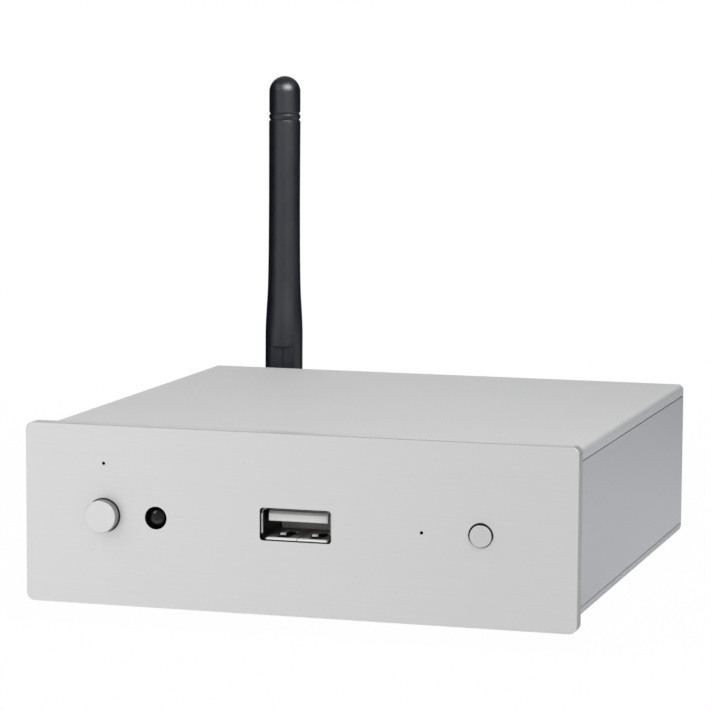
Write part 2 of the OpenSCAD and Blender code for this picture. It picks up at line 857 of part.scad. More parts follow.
module usb_tongue() {
    block_w = usb_w - 2 * usb_sheet - 0.1;
    block_h = usb_inner_h - 0.1;
    front_y = usb_y0 + tongue_front;
    root_y = usb_y1 - usb_block_d + 0.5;
    top_z = tongue_bottom + tongue_t;
    color("whitesmoke") translate([0, 0, line_z]) {
        along_x(-usb_tongue_w / 2, usb_tongue_w / 2) polygon([
            [front_y, tongue_bottom + tongue_under], [front_y + tongue_under, tongue_bottom],
            [root_y, tongue_bottom], [root_y, top_z], [front_y + tongue_chamfer, top_z],
            [front_y, top_z - tongue_chamfer]
        ]);
        box([-block_w / 2, usb_y1 - usb_block_d, -block_h / 2], [block_w / 2, usb_y1, block_h / 2]);
    }
}

module usb_contacts() {
    color("gold") for (x = usb_contact_places)
        box([x - usb_contact_w / 2, usb_y0 + tongue_front + 0.8, line_z + tongue_bottom - usb_contact_t],
            [x + usb_contact_w / 2, usb_y0 + tongue_front + 0.8 + usb_contact_l, line_z + tongue_bottom]);
}

// Boards and what stands on them

module main_board() {
    color("darkgreen") box([fit - wall_in, board_y0, board_z0], [wall_in - fit, rear_y0 - fit, board_z1]);
}

module streaming_module() {
    color("darkgreen")
        box([module_x0, module_y1 - module_d, module_z0], [module_x0 + module_w, module_y1, module_z1]);
}

module module_shield() {
    x0 = module_x0 + (module_w - shield_w) / 2;
    y0 = module_y1 - module_d + shield_front;
    color("silver") box([x0, y0, module_z1], [x0 + shield_w, y0 + shield_d, module_z1 + shield_h]);
}

module module_headers() {
    y0 = module_y1 - module_d + (module_d - header_l) / 2;
    color("black") for (x = [module_x0 + header_in, module_x0 + module_w - header_in - header_w])
        box([x, y0, board_z1], [x + header_w, y0 + header_l, module_z0]);
}

module capacitors() {
    r = capacitor_r;
    color("midnightblue") for (p = capacitor_places)
        translate([wall_in - p[0], rear_y0 - p[1], board_z1]) rotate_extrude() polygon([
            [0, 0], [r, 0], [r, capacitor_groove_z - capacitor_groove_d],
            [r - capacitor_groove_d, capacitor_groove_z], [r, capacitor_groove_z + capacitor_groove_d],
            [r, capacitor_h - capacitor_edge], [r - capacitor_edge, capacitor_h], [0, capacitor_h]
        ]);
}

// A block on the main board, given as [share of half the case's width, distance in front of the rear panel,
// width, length, height]
module board_block(b) {
    x = b[0] * half_w;
    box([x - b[2] / 2, rear_y0 - b[1] - b[3] / 2, board_z1],
        [x + b[2] / 2, rear_y0 - b[1] + b[3] / 2, board_z1 + b[4]]);
}

module chips() { color("black") for (c = chips) board_block(c); }
module inductor_block() { color("gray") board_block(inductor); }

// Rear sockets

module network_socket() {
    y1 = rear_y1 + lan_out;
    mouth_z = board_z1 + lan_mouth_z;
    color("black") difference() {
        box([lan_x - lan_w / 2, y1 - lan_d, board_z1], [lan_x + lan_w / 2, y1, board_z1 + lan_h]);
        box([lan_x - lan_mouth_w / 2, y1 - lan_mouth_d, mouth_z],
            [lan_x + lan_mouth_w / 2, y1 + 1, mouth_z + lan_mouth_h]);
        box([lan_x - lan_key_w / 2, y1 - lan_mouth_d, mouth_z - lan_key_h],
            [lan_x + lan_key_w / 2, y1 + 1, mouth_z + 1]);
    }
}

module network_contacts() {
    y1 = rear_y1 + lan_out;
    roof_z = board_z1 + lan_mouth_z + lan_mouth_h;
    first_x = lan_x - lan_pin_pitch * (lan_pin_count - 1) / 2;
    color("gold") for (i = [0 : lan_pin_count - 1])
        translate([first_x + i * lan_pin_pitch, y1, roof_z]) along_x(-lan_pin_w / 2, lan_pin_w / 2)
            polygon([
                [-lan_pin_front, 0], [-lan_pin_front - lan_pin_root, 0],
                [-lan_pin_back, lan_pin_t - lan_pin_drop], [-lan_pin_back, -lan_pin_drop],
                [lan_pin_t - lan_pin_back, -lan_pin_drop]
            ]);
}

module optical_housing() {
    y0 = optical_y1 - optical_d;
    roof_z = optical_z1 + optical_head;
    cave_w = shutter_w + 2 * fit;
    color("black") difference() {
        box([optical_x - optical_w / 2, y0, board_z1],
            [optical_x + optical_w / 2, optical_y1, roof_z + optical_roof]);
        box([optical_x - optical_mouth / 2, optical_y1 - optical_frame - 1, optical_z0],
            [optical_x + optical_mouth / 2, optical_y1 + 1, optical_z1]);
        box([optical_x - cave_w / 2, optical_y1 - optical_frame - optical_cave_d, optical_z0],
            [optical_x + cave_w / 2, optical_y1 - optical_frame, roof_z]);
        translate([optical_x, shutter_y, shutter_z])
            rod_x(shutter_pin_r + 2 * pin_fit, -cave_w / 2 - shutter_pin_l, cave_w / 2 + shutter_pin_l);
    }
}

module optical_shutter() {
    pin_l = shutter_w / 2 + shutter_pin_l;
    color("dimgray") translate([optical_x, shutter_y, 0]) {
        box([-shutter_w / 2, -shutter_t / 2, optical_z0 + fit], [shutter_w / 2, shutter_t / 2, shutter_z]);
        translate([0, 0, shutter_z]) {
            rod_x(shutter_t / 2, -shutter_w / 2, shutter_w / 2);
            rod_x(shutter_pin_r, -pin_l, pin_l);
        }
    }
}

module rca_block() {
    color("black") difference() {
        box([rca_x - rca_block_w / 2, rear_y0 - rca_block_d, board_z1],
            [rca_x + rca_block_w / 2, rear_y0, board_z1 + rca_block_h]);
        for (sx = [-1, 1]) translate([rca_x + sx * rca_pitch / 2, 0, rca_z]) {
            rod_y(rca_r - rca_step + pin_fit, rear_y0 - rca_root, rear_y0 + 1);
            rod_y(rca_clip_r, rear_y0 - rca_root - rca_clip_d, rear_y0 + 1);
        }
        translate([rca_x, 0, rca_screw_z]) rod_y(shank_r + pin_fit, rear_y1 - shank_l - 0.5, rear_y0 + 1);
    }
}

// The round barrel of an RCA output, with a thinner root inside the block
module rca_barrel(sx) {
    translate([rca_x + sx * rca_pitch / 2, 0, rca_z]) difference() {
        union() {
            rod_y(rca_r - rca_step, rear_y0 - rca_root, rear_y1);
            rod_y(rca_r, rear_y1, rear_y1 + rca_l);
        }
        rod_y(rca_r - rca_wall, rear_y0 - rca_root - 1, rear_y1 + rca_l + 1);
    }
}

// The insulating insert of an RCA output, with the hole for the plug's pin
module rca_insert(sx) {
    y1 = rear_y1 + rca_l - rca_insert_in;
    translate([rca_x + sx * rca_pitch / 2, 0, rca_z]) difference() {
        rod_y(rca_r - rca_wall - pin_fit, rear_y0 - rca_root, y1);
        rod_y(rca_bore_r, rear_y0 - rca_root - 1, y1 + 1);
    }
}

module rca_barrel_left() { color("gold") rca_barrel(-1); }
module rca_barrel_right() { color("gold") rca_barrel(1); }
module rca_insert_left() { color("firebrick") rca_insert(-1); }
module rca_insert_right() { color("whitesmoke") rca_insert(1); }
module rca_screw() { color("gray") translate([rca_x, 0, rca_screw_z]) pan_screw(); }

module power_inlet() {
    mouth_y = rear_y1 + inlet_out;
    color("black") difference() {
        union() {
            box([inlet_x - inlet_w / 2, rear_y0 - inlet_d, board_z1],
                [inlet_x + inlet_w / 2, rear_y0, board_z1 + inlet_h]);
            translate([inlet_x, 0, inlet_z]) rod_y(inlet_nose_r, rear_y0 - 1, mouth_y);
        }
        translate([inlet_x, 0, inlet_z]) rod_y(inlet_bore_r, mouth_y - inlet_bore_l, mouth_y + 1);
    }
}

module power_inlet_pin() {
    mouth_y = rear_y1 + inlet_out;
    color("silver") translate([inlet_x, 0, inlet_z])
        rod_y(inlet_pin_r, mouth_y - inlet_bore_l, mouth_y - inlet_pin_in);
}

// Aerial: socket on the rear panel, coupling nut, swivel elbow and tilting sleeve

module aerial_socket() {
    back_y = rear_y0 - socket_flange_t;
    color("goldenrod") translate([aerial_x, 0, aerial_z]) {
        hex_y(socket_hex_r, back_y, rear_y0, 0);
        rod_y(thread_r, back_y, thread_end);
        rod_y(socket_tail_r, back_y - socket_tail_l, back_y);
    }
}

module aerial_washer() {
    color("goldenrod") translate([aerial_x, 0, aerial_z]) difference() {
        rod_y(washer_r, rear_y1, rear_y1 + washer_t);
        rod_y(thread_r + thread_gap, rear_y1 - 1, rear_y1 + washer_t + 1);
    }
}

module aerial_nut() {
    y0 = rear_y1 + washer_t;
    color("goldenrod") translate([aerial_x, 0, aerial_z]) difference() {
        hex_y(socket_hex_r, y0, y0 + socket_nut_t, 0);
        rod_y(thread_r + thread_gap, y0 - 1, y0 + socket_nut_t + 1);
    }
}

// One eight-sided ring of the inner lead, square to the route at its point
function route_point(i) = [
    aerial_x + lead_route[i][0], rear_y0 + lead_route[i][1],
    aerial_z + lead_route[i][2] * (lead_end_z - aerial_z)
];
function unit(v) = v / norm(v);
function route_along(i) = i == 0 || i == len(lead_route) - 1 ? [0, -1, 0]
    : unit(route_point(i + 1) - route_point(i - 1));
function ring(i) = let (side = unit(cross(route_along(i), [0, 0, 1])), up = cross(side, route_along(i)))
    [for (k = [0 : lead_sides - 1])
        route_point(i) + lead_r * (cos(k * 360 / lead_sides) * side + sin(k * 360 / lead_sides) * up)];

module aerial_lead() {
    last = len(lead_route) - 1;
    points = [for (i = [0 : last]) each ring(i)];
    sides = [for (i = [0 : last - 1], k = [0 : lead_sides - 1]) let (n = (k + 1) % lead_sides)
        [i * lead_sides + k, i * lead_sides + n, (i + 1) * lead_sides + n, (i + 1) * lead_sides + k]];
    ends = [[for (k = [lead_sides - 1 : -1 : 0]) k], [for (k = [0 : lead_sides - 1]) last * lead_sides + k]];
    color("black") {
        polyhedron(points = points, faces = concat(sides, ends));
        translate([aerial_x + lead_route[last][0], rear_y0 + lead_route[last][1], module_z1])
            cylinder(r = lead_plug_r, h = lead_plug_h);
    }
}

module aerial_coupling() {
    color("goldenrod") translate([aerial_x, 0, aerial_z]) difference() {
        rod_y(coupling_r, coupling_y0, coupling_y1);
        rod_y(thread_r + thread_gap, coupling_y0 - 1, coupling_y1 - coupling_back);
        rod_y(neck_r + 2 * pin_fit, coupling_y0 - 1, coupling_y1 + 1);
        for (k = [0 : coupling_grips - 1]) rotate([0, k * 360 / coupling_grips, 0])
            translate([0, coupling_y0 + 0.8, coupling_r]) rotate([0, 45, 0])
                translate([-coupling_grip_w / 2, 0, -coupling_grip_w / 2])
                    cube([coupling_grip_w, coupling_l - 1.6, coupling_grip_w]);
    }
}

module aerial_elbow() {
    flange_y0 = thread_end + 0.1;
    color("black") translate([aerial_x, 0, aerial_z]) {
        rod_y(neck_flange_r, flange_y0, flange_y0 + neck_flange_t);
        rod_y(neck_r, flange_y0, collar_y0 + 0.5);
        rod_y(sleeve_low_r, collar_y0, collar_y0 + collar_l);
        difference() {
            union() {
                box([-tongue_w / 2, collar_y0 + collar_l - 0.5, -tongue_r],
                    [tongue_w / 2, hinge_y, tongue_r]);
                translate([0, hinge_y, 0]) rod_x(tongue_r, -tongue_w / 2, tongue_w / 2);
            }
            translate([0, hinge_y, 0]) rod_x(hinge_r + pin_fit, -tongue_w, tongue_w);
        }
    }
}

module aerial_hinge_pin() {
    color("silver") translate([aerial_x, hinge_y, aerial_z])
        rod_x(hinge_r, -hinge_pin_l / 2, hinge_pin_l / 2);
}

// Points of one groove, from its lower edge to its upper edge, at a height above the hinge
function groove_points(z, low_r) = [
    [low_r, z - groove_w / 2], [sleeve_top_r - groove_d, z], [sleeve_top_r, z + groove_w / 2]
];

module aerial_sleeve() {
    dome_z = sleeve_l - sleeve_top_r;
    upper_z = sleeve_l - groove_drop;
    slot_half = tongue_w / 2 + slot_fit;
    slot_r = tongue_r + 0.3;
    flare = [for (p = flare_shape)
        [sleeve_top_r + (sleeve_low_r - sleeve_top_r) * p[1], flare_low + flare_l * p[0]]];
    color("black") translate([aerial_x, hinge_y, aerial_z]) difference() {
        union() {
            rotate_extrude() polygon(concat(
                [[0, 0], [sleeve_low_r, 0]], flare,
                groove_points(upper_z - groove_pitch, sleeve_top_r + sleeve_swell),
                groove_points(upper_z, sleeve_top_r + sleeve_swell),
                [[sleeve_top_r, dome_z], [0, dome_z]]
            ));
            sphere(r = sleeve_low_r);
            translate([0, 0, dome_z]) sphere(r = sleeve_top_r);
        }
        box([-slot_half, -2 * sleeve_low_r, -2 * sleeve_low_r], [slot_half, slot_r, slot_r]);
        rotate([0, 0, flat_turn]) {
            for (sy = [0, 1]) mirror([0, sy, 0])
                box([-2 * sleeve_low_r, -2 * sleeve_low_r, -2 * sleeve_low_r],
                    [2 * sleeve_low_r, flat_d - sleeve_low_r, flat_top]);
            box([-mould_line_w / 2, -2 * sleeve_low_r, 0],
                [mould_line_w / 2, flat_d + mould_line_d - sleeve_low_r, flat_top]);
        }
        rod_x(hinge_r + pin_fit, -hinge_pin_l / 2, hinge_pin_l / 2);
    }
}

placed() front_plate();
placed() front_bracket();
placed() bracket_screws();
placed() plate_studs();
placed() plate_nuts();
placed() top_cover();
placed() base_cover();
placed() left_wall();
placed() right_wall();
placed() rear_panel();
placed() rear_screws();
placed() foot_front_left();
placed() foot_front_right();
placed() foot_rear_left();
placed() foot_rear_right();
placed() power_button();
placed() power_switch();
placed() power_plunger();
placed() source_button();
placed() source_switch();
placed() source_plunger();
placed() infrared_window();
placed() infrared_receiver();
placed() power_light_guide();
placed() source_light_guide();
placed() indicator_lights();
placed() usb_shell();
placed() usb_tongue();
placed() usb_contacts();
placed() main_board();
placed() streaming_module();
placed() module_shield();
placed() module_headers();
placed() capacitors();
placed() chips();
placed() inductor_block();
placed() network_socket();
placed() network_contacts();
placed() optical_housing();
placed() optical_shutter();
placed() rca_block();
placed() rca_barrel_left();
placed() rca_barrel_right();
placed() rca_insert_left();
placed() rca_insert_right();
placed() rca_screw();
placed() power_inlet();
placed() power_inlet_pin();
placed() aerial_socket();
placed() aerial_washer();
placed() aerial_nut();
placed() aerial_lead();
placed() aerial_coupling();
placed() aerial_elbow();
placed() aerial_hinge_pin();
placed() aerial_sleeve();
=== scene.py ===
import json
import math

import bmesh
import bpy
from mathutils import Matrix, Vector

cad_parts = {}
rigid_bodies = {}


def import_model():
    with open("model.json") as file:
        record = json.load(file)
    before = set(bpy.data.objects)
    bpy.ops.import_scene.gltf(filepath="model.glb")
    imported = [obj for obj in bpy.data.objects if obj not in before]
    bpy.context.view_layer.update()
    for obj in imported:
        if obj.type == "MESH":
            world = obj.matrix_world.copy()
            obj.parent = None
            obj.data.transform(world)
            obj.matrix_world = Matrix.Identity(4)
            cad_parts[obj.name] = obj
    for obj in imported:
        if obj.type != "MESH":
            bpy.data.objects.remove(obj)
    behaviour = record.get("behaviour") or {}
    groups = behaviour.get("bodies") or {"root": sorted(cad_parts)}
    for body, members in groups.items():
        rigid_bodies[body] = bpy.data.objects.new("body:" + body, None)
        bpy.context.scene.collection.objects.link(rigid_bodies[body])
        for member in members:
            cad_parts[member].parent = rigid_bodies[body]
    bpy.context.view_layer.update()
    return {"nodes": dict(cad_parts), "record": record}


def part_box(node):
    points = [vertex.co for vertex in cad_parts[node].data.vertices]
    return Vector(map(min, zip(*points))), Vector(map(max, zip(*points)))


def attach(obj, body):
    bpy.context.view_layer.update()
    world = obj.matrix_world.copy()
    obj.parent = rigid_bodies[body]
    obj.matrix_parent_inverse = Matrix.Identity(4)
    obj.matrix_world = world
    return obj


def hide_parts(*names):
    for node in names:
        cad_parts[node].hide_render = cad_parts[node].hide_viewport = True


for thing in list(bpy.data.objects):
    bpy.data.objects.remove(thing)
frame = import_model()
nodes = frame["nodes"]
slotOf = {part["node"]: part["material_slot"] for part in frame["record"]["subparts"]}
bodyOf = {name: body for body, names in frame["record"]["behaviour"]["bodies"].items() for name in names}
mm = 0.001
print("frame loaded:", len(nodes), "nodes")


# Camera solved from the straight edges in the photograph
cameraSetup = {
    "azimuth": 16.4531, "elevation": 6.6211, "roll": 0.32369,
    "distance": 559.058 * mm, "target": Vector((11.0, -60.7, 51.456)) * mm,
    "lens": 160.878, "sensor": 36.0,
}


# The direction that a bearing from the front and a height angle point to
def wayFrom(bearing, height):
    turn = math.radians(bearing)
    lift = math.radians(height)
    return Vector((math.sin(turn) * math.cos(lift), -math.cos(turn) * math.cos(lift), math.sin(lift)))


def makeCamera(setup):
    roll = math.radians(setup["roll"])
    back = wayFrom(setup["azimuth"], setup["elevation"])
    side = (-back).cross(Vector((0, 0, 1))).normalized()
    up = side.cross(-back)
    sideRolled = math.cos(roll) * side + math.sin(roll) * up
    upRolled = math.cos(roll) * up - math.sin(roll) * side
    data = bpy.data.cameras.new("photoCamera")
    data.lens = setup["lens"]
    data.sensor_width = setup["sensor"]
    data.sensor_fit = "HORIZONTAL"
    data.clip_start = 0.01
    data.clip_end = 20
    camera = bpy.data.objects.new("photoCamera", data)
    bpy.context.scene.collection.objects.link(camera)
    place = setup["target"] + back * setup["distance"]
    camera.matrix_world = Matrix((
        (sideRolled.x, upRolled.x, back.x, place.x),
        (sideRolled.y, upRolled.y, back.y, place.y),
        (sideRolled.z, upRolled.z, back.z, place.z),
        (0, 0, 0, 1),
    ))
    bpy.context.scene.camera = camera


makeCamera(cameraSetup)
bpy.context.scene.view_settings.view_transform = "Standard"
print("camera set")


# A wire is an output socket that can be used in sums
class Wire:
    def __init__(self, graph, socket):
        self.graph = graph
        self.socket = socket

    def __add__(self, other):
        return self.graph.sums("ADD", self, other)

    def __sub__(self, other):
        return self.graph.sums("SUBTRACT", self, other)

    def __rsub__(self, other):
        return self.graph.sums("SUBTRACT", other, self)

    def __mul__(self, other):
        return self.graph.sums("MULTIPLY", self, other)

    def __truediv__(self, other):
        return self.graph.sums("DIVIDE", self, other)

    def __rtruediv__(self, other):
        return self.graph.sums("DIVIDE", other, self)

    def __pow__(self, other):
        return self.graph.sums("POWER", self, other)

    __radd__ = __add__
    __rmul__ = __mul__


# A node tree written with wires
class Graph:
    def __init__(self, tree):
        self.tree = tree

    def feed(self, socket, value):
        if isinstance(value, Wire):
            self.tree.links.new(value.socket, socket)
        else:
            socket.default_value = value

    def node(self, kind, settings=None, sockets=None, out=0):
        made = self.tree.nodes.new(kind)
        for key, value in (settings or {}).items():
            setattr(made, key, value)
        for key, value in (sockets or {}).items():
            self.feed(made.inputs[key], value)
        return Wire(self, made.outputs[out])

    def sums(self, operation, first, second):
        return self.node("ShaderNodeMath", {"operation": operation}, {0: first, 1: second})


# The node tree of a finish
class Finish(Graph):
    def __init__(self, owner):
        owner.use_nodes = True
        super().__init__(owner.node_tree)
        self.owner = owner

    def place(self, centre=(0, 0, 0), stretch=(1, 1, 1)):
        spot = self.node("ShaderNodeTexCoord", out="Object")
        shifted = tuple(-c * s for c, s in zip(centre, stretch))
        return self.node("ShaderNodeMapping", None, {"Vector": spot, "Location": shifted, "Scale": stretch})

    def noise(self, size, detail=2.0, rough=0.5, stretch=(1, 1, 1)):
        spread = tuple(s / size for s in stretch)
        return self.node("ShaderNodeTexNoise", {"noise_dimensions": "3D"}, {
            "Vector": self.place(stretch=spread), "Scale": 1.0, "Detail": detail, "Roughness": rough})

    def span(self, value, low, high, toLow=0.0, toHigh=1.0):
        return self.node("ShaderNodeMapRange", {"clamp": True}, {
            "Value": value, "From Min": low, "From Max": high, "To Min": toLow, "To Max": toHigh})

    def tint(self, factor, first, second, blend="MIX"):
        return self.node("ShaderNodeMix", {"data_type": "RGBA", "blend_type": blend}, {
            0: factor, 6: first, 7: second}, out=2)

    def axes(self, vector):
        parts = self.node("ShaderNodeSeparateXYZ", None, {0: vector})
        outs = parts.socket.node.outputs
        return [Wire(self, outs[k]) for k in range(3)]

    def facing(self):
        return self.axes(self.node("ShaderNodeTexCoord", out="Normal"))

    def bump(self, height, depth, strength=1.0):
        return self.node("ShaderNodeBump", None, {
            "Height": height, "Distance": depth, "Strength": strength})

    def surface(self, **values):
        shader = self.tree.nodes["Principled BSDF"]
        names = {"colour": "Base Color", "rough": "Roughness", "metal": "Metallic", "normal": "Normal",
                 "specular": "Specular IOR Level", "glass": "Transmission Weight", "ior": "IOR",
                 "grain": "Anisotropic", "grainTurn": "Anisotropic Rotation"}
        for key, value in values.items():
            self.feed(shader.inputs[names[key]], value)
        return self.owner


def grey(level):
    return (level, level, level, 1.0)


def scaled(colour, factor):
    return tuple(channel * factor for channel in colour[:3]) + (1,)


def newFinish(name):
    return Finish(bpy.data.materials.new(name))


# Painted shade in the gap round a button and a ring of painted shadow round it, widened to the upper left
# by lean; on the side that its away direction names the gap is painted pale, as light
keySetup = {
    "power_button": {
        "level": 0.645, "radius": 2.95 * mm, "lean": 0.0,
        "away": (-0.3, -0.95), "from": 0.7, "to": 0.92,
    },
    "source_button": {
        "level": 0.575, "radius": 2 * mm, "lean": 0.13 * mm,
        "away": (0.25, -0.97), "from": 0.25, "to": 0.75,
    },
}

# Long brush lines, with painted shade on the side faces, on the top and side bevels and on the walls of the
# holes in the plate's middle field, and painted light on the top face and the bottom bevel
brushedSetup = {
    "colour": (0.63, 0.631, 0.631, 1), "lift": 0.022, "line": 0.07 * mm, "length": 34 * mm,
    "broad": 0.4 * mm, "broadLength": 70 * mm, "side": 0.46, "rimShade": 0.45, "lip": 1.3, "crownLight": 1.16,
    "middle": (0, -60.7 * mm, 20.5 * mm), "fieldX": (45 * mm, 46 * mm), "fieldZ": (14 * mm, 15 * mm),
    "gap": 0.22 * mm, "gapPaintedShade": 0.012, "gapPaintedLight": 0.95, "fadeHalf": 15 * mm, "fade": (1.02, 0.96),
}


def brushedAluminium(setup):
    f = newFinish("brushedAluminium")
    fine = f.noise(setup["line"], 3, 0.6, (setup["line"] / setup["length"], 0.02, 1))
    broad = f.noise(setup["broad"], 2, 0.5, (setup["broad"] / setup["broadLength"], 0.02, 1))
    streak = fine * 0.7 + broad * 0.3
    x, y, z = f.facing()
    # Painted shade: the side faces, and the top and side bevels away from the corners, are drawn in a
    # darker copy of the colour
    dull = scaled(setup["colour"], setup["side"])
    base = f.tint(f.span(x * x, 0.5, 0.9), setup["colour"], dull)
    rounding = 1 - f.span(x * z, 0.1, 0.35)
    base = f.tint(f.span(z * y, -0.2, -0.45, 0.0, setup["rimShade"]) * rounding, base, dull)
    base = f.tint(f.span(x * y, -0.2, -0.45, 0.0, setup["rimShade"]) * rounding, base, dull)
    # Painted highlight on the bottom bevel
    base = f.tint(f.span(z * y, 0.2, 0.45), base, scaled(setup["colour"], setup["lip"]))
    # Painted light on the top face and the rounded top corners
    crownLight = f.span(f.span(z, 0.75, 0.95) + 1 - rounding, 0, 1)
    base = f.tint(crownLight, base, scaled(setup["colour"], setup["crownLight"]))
    px, py, pz = f.axes(f.place(setup["middle"]))
    nearX, farX = setup["fieldX"]
    nearZ, farZ = setup["fieldZ"]
    field = f.span(px * px, farX ** 2, nearX ** 2) * f.span(pz * pz, farZ ** 2, nearZ ** 2)
    # Painted shade on the walls of the holes in the plate's middle field
    wall = f.span(y * y, 0.5, 0.2)
    shade = field * wall
    for name, key in keySetup.items():
        low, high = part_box(name)
        rx, ry, rz = f.axes(f.place((low + high) / 2))
        radius = key["radius"]
        reach = (rx * rx + rz * rz) ** 0.5
        edge = radius + setup["gap"]
        across, up = key["away"]
        # On the away side the painted shade gives way, and the hole's walls are painted pale as light
        under = f.span(rx * across + rz * up, key["from"] * radius, key["to"] * radius)
        under = under * f.span(reach, edge + 0.5 * mm, edge + 0.3 * mm)
        # A ring of painted shadow on the plate round the hole, widened to the upper left by lean
        wide = reach - f.span(rz - rx, 0.3 * radius, 1.2 * radius, 0.0, key["lean"])
        ring = f.span(wide, edge + 0.05 * mm, edge - 0.03 * mm)
        shade = f.span(shade + ring, 0, 1) * (1 - under)
        base = f.tint(under * wall, base, grey(setup["gapPaintedLight"]))
    # The hole walls and the rings are drawn in painted shade
    base = f.tint(shade, base, grey(setup["gapPaintedShade"]))
    lit = f.tint(f.span(streak, 0.3, 0.7), grey(1 - setup["lift"]), grey(1 + setup["lift"]))
    # Painted light: the plate is a little lighter towards the bottom and darker towards the top
    bottom, top = setup["fade"]
    fade = f.tint(f.span(pz, -setup["fadeHalf"], setup["fadeHalf"]), grey(bottom), grey(top))
    lit = f.tint(1.0, lit, fade, "MULTIPLY")
    colour = f.tint(1.0, base, lit, "MULTIPLY")
    return f.surface(colour=colour, metal=0.5, rough=f.span(streak, 0.25, 0.75, 0.36, 0.46), grain=0.6,
                     grainTurn=0.25, normal=f.bump(streak, 0.006 * mm, 0.3))


# Fine turning rings on the face, painted shade on the side, and painted shade at the root in the gap
turnedSetup = {
    "colour": (0.68, 0.681, 0.682, 1), "ring": 0.09 * mm, "ringDark": 0.97, "side": 0.42,
    "root": -60.75 * mm, "rootDeep": 0.25 * mm, "gapPaintedShade": 0.012, "gapPaintedLight": 0.9,
    "away": (0, -1), "from": 0.3, "to": 0.75,
}


def turnedAluminium(name, centre, setup):
    f = newFinish(name)
    x, y, z = f.axes(f.place(centre))
    radius = (x * x + z * z) ** 0.5
    rings = f.node("ShaderNodeTexNoise", {"noise_dimensions": "1D"}, {
        "W": radius / setup["ring"], "Scale": 1.0, "Detail": 2.0, "Roughness": 0.6})
    face = f.tint(f.span(rings, 0.3, 0.7), scaled(setup["colour"], setup["ringDark"]), setup["colour"])
    nx, ny, nz = f.facing()
    # Painted shade: the side wall, except where it faces left, is drawn in a darker copy of the colour
    dull = scaled(setup["colour"], setup["side"])
    wall = f.span(ny * ny, 0.9, 0.4)
    colour = f.tint(wall * f.span(nx, -0.35, 0.05), face, dull)
    wx, wy, wz = f.axes(f.place())
    # Painted shade at the root of the side wall in the gap, painted pale as light on the side that the away
    # direction names
    across, up = setup["away"]
    under = f.span(nx * across + nz * up, setup["from"], setup["to"])
    root = f.tint(under, grey(setup["gapPaintedShade"]), grey(setup["gapPaintedLight"]))
    sunk = wall * f.span(wy, setup["root"] - setup["rootDeep"], setup["root"])
    colour = f.tint(sunk, colour, root)
    return f.surface(colour=colour, metal=0.5, rough=f.span(rings, 0.3, 0.7, 0.34, 0.44),
                     normal=f.bump(rings, 0.006 * mm, 0.3))


# Fine blasted grain, with painted shade on the rolled edges, a painted highlight on the lip and painted
# shade along the seam beside the walls
blastedSetup = {
    "colour": (0.715, 0.716, 0.718, 1), "grain": 0.35 * mm, "speck": 0.14 * mm, "cloud": 14 * mm,
    "roll": (0.7, 0.71, 0.735, 1), "lip": 1.9, "seam": 0.5, "half": 20 * mm, "mottle": (0.965, 1.03),
}


def blastedAluminium(setup):
    f = newFinish("blastedAluminium")
    grain = f.noise(setup["grain"], 3, 0.65)
    speck = f.noise(setup["speck"], 2, 0.6)
    cloud = f.noise(setup["cloud"], 3, 0.5)
    mottle = grain * 0.55 + speck * 0.3 + cloud * 0.15
    darker, lighter = setup["mottle"]
    light = f.tint(f.span(mottle, 0.36, 0.64), grey(darker), grey(lighter))
    colour = f.tint(1.0, setup["colour"], light, "MULTIPLY")
    nx, ny, nz = f.facing()
    px, py, pz = f.axes(f.place())
    upper = f.span(pz, setup["half"], setup["half"] + mm)
    slope = f.span(nx * nx, 0.2, 0.4)
    # Painted shade on the rolled edges
    colour = f.tint(f.span(nx * nx, 0.15, 0.85), colour, f.tint(1.0, colour, setup["roll"], "MULTIPLY"))
    # Painted highlight on the downward bevel of the upper cover, and painted shade on the upward bevel of
    # the lower cover along the seam
    pale = f.tint(1.0, colour, grey(setup["lip"]), "MULTIPLY")
    colour = f.tint(slope * upper * f.span(nz, -0.3, -0.6), colour, pale)
    dark = f.tint(1.0, colour, grey(setup["seam"]), "MULTIPLY")
    colour = f.tint(slope * (1 - upper) * f.span(nz, 0.3, 0.6), colour, dark)
    return f.surface(colour=colour, metal=0.2, specular=0.4, rough=f.span(mottle, 0.35, 0.65, 0.62, 0.74),
                     normal=f.bump(grain * 0.6 + speck * 0.4, 0.03 * mm, 0.5))


# Drawn lines along the walls, with painted shade along the seam at the lower bevel
satinSetup = {
    "colour": (0.45, 0.459, 0.488, 1), "line": 0.25 * mm, "length": 70 * mm, "speck": 0.16 * mm,
    "seam": 0.5, "mottle": (0.965, 1.03),
}


def satinAluminium(setup):
    f = newFinish("satinAluminium")
    lines = f.noise(setup["line"], 3, 0.55, (1, setup["line"] / setup["length"], 1))
    speck = f.noise(setup["speck"], 2, 0.6)
    mix = lines * 0.7 + speck * 0.3
    darker, lighter = setup["mottle"]
    light = f.tint(f.span(mix, 0.35, 0.65), grey(darker), grey(lighter))
    colour = f.tint(1.0, setup["colour"], light, "MULTIPLY")
    nx, ny, nz = f.facing()
    # Painted shade along the seam at the wall's lower bevel
    dark = f.tint(1.0, colour, grey(setup["seam"]), "MULTIPLY")
    colour = f.tint(f.span(nx * nx, 0.2, 0.4) * f.span(nz, -0.3, -0.6), colour, dark)
    return f.surface(colour=colour, metal=0.75, rough=f.span(mix, 0.3, 0.7, 0.38, 0.48),
                     normal=f.bump(mix, 0.008 * mm, 0.3))


def platedMetal(name, colour, dark, rough, grain):
    f = newFinish(name)
    haze = f.noise(grain * 12, 3, 0.55)
    speck = f.noise(grain, 2, 0.6)
    mix = haze * 0.6 + speck * 0.4
    return f.surface(colour=f.tint(f.span(mix, 0.34, 0.66), dark, colour), metal=1.0,
                     rough=f.span(mix, 0.3, 0.7, rough * 0.8, rough * 1.25),
                     normal=f.bump(speck, 0.004 * mm, 0.25))


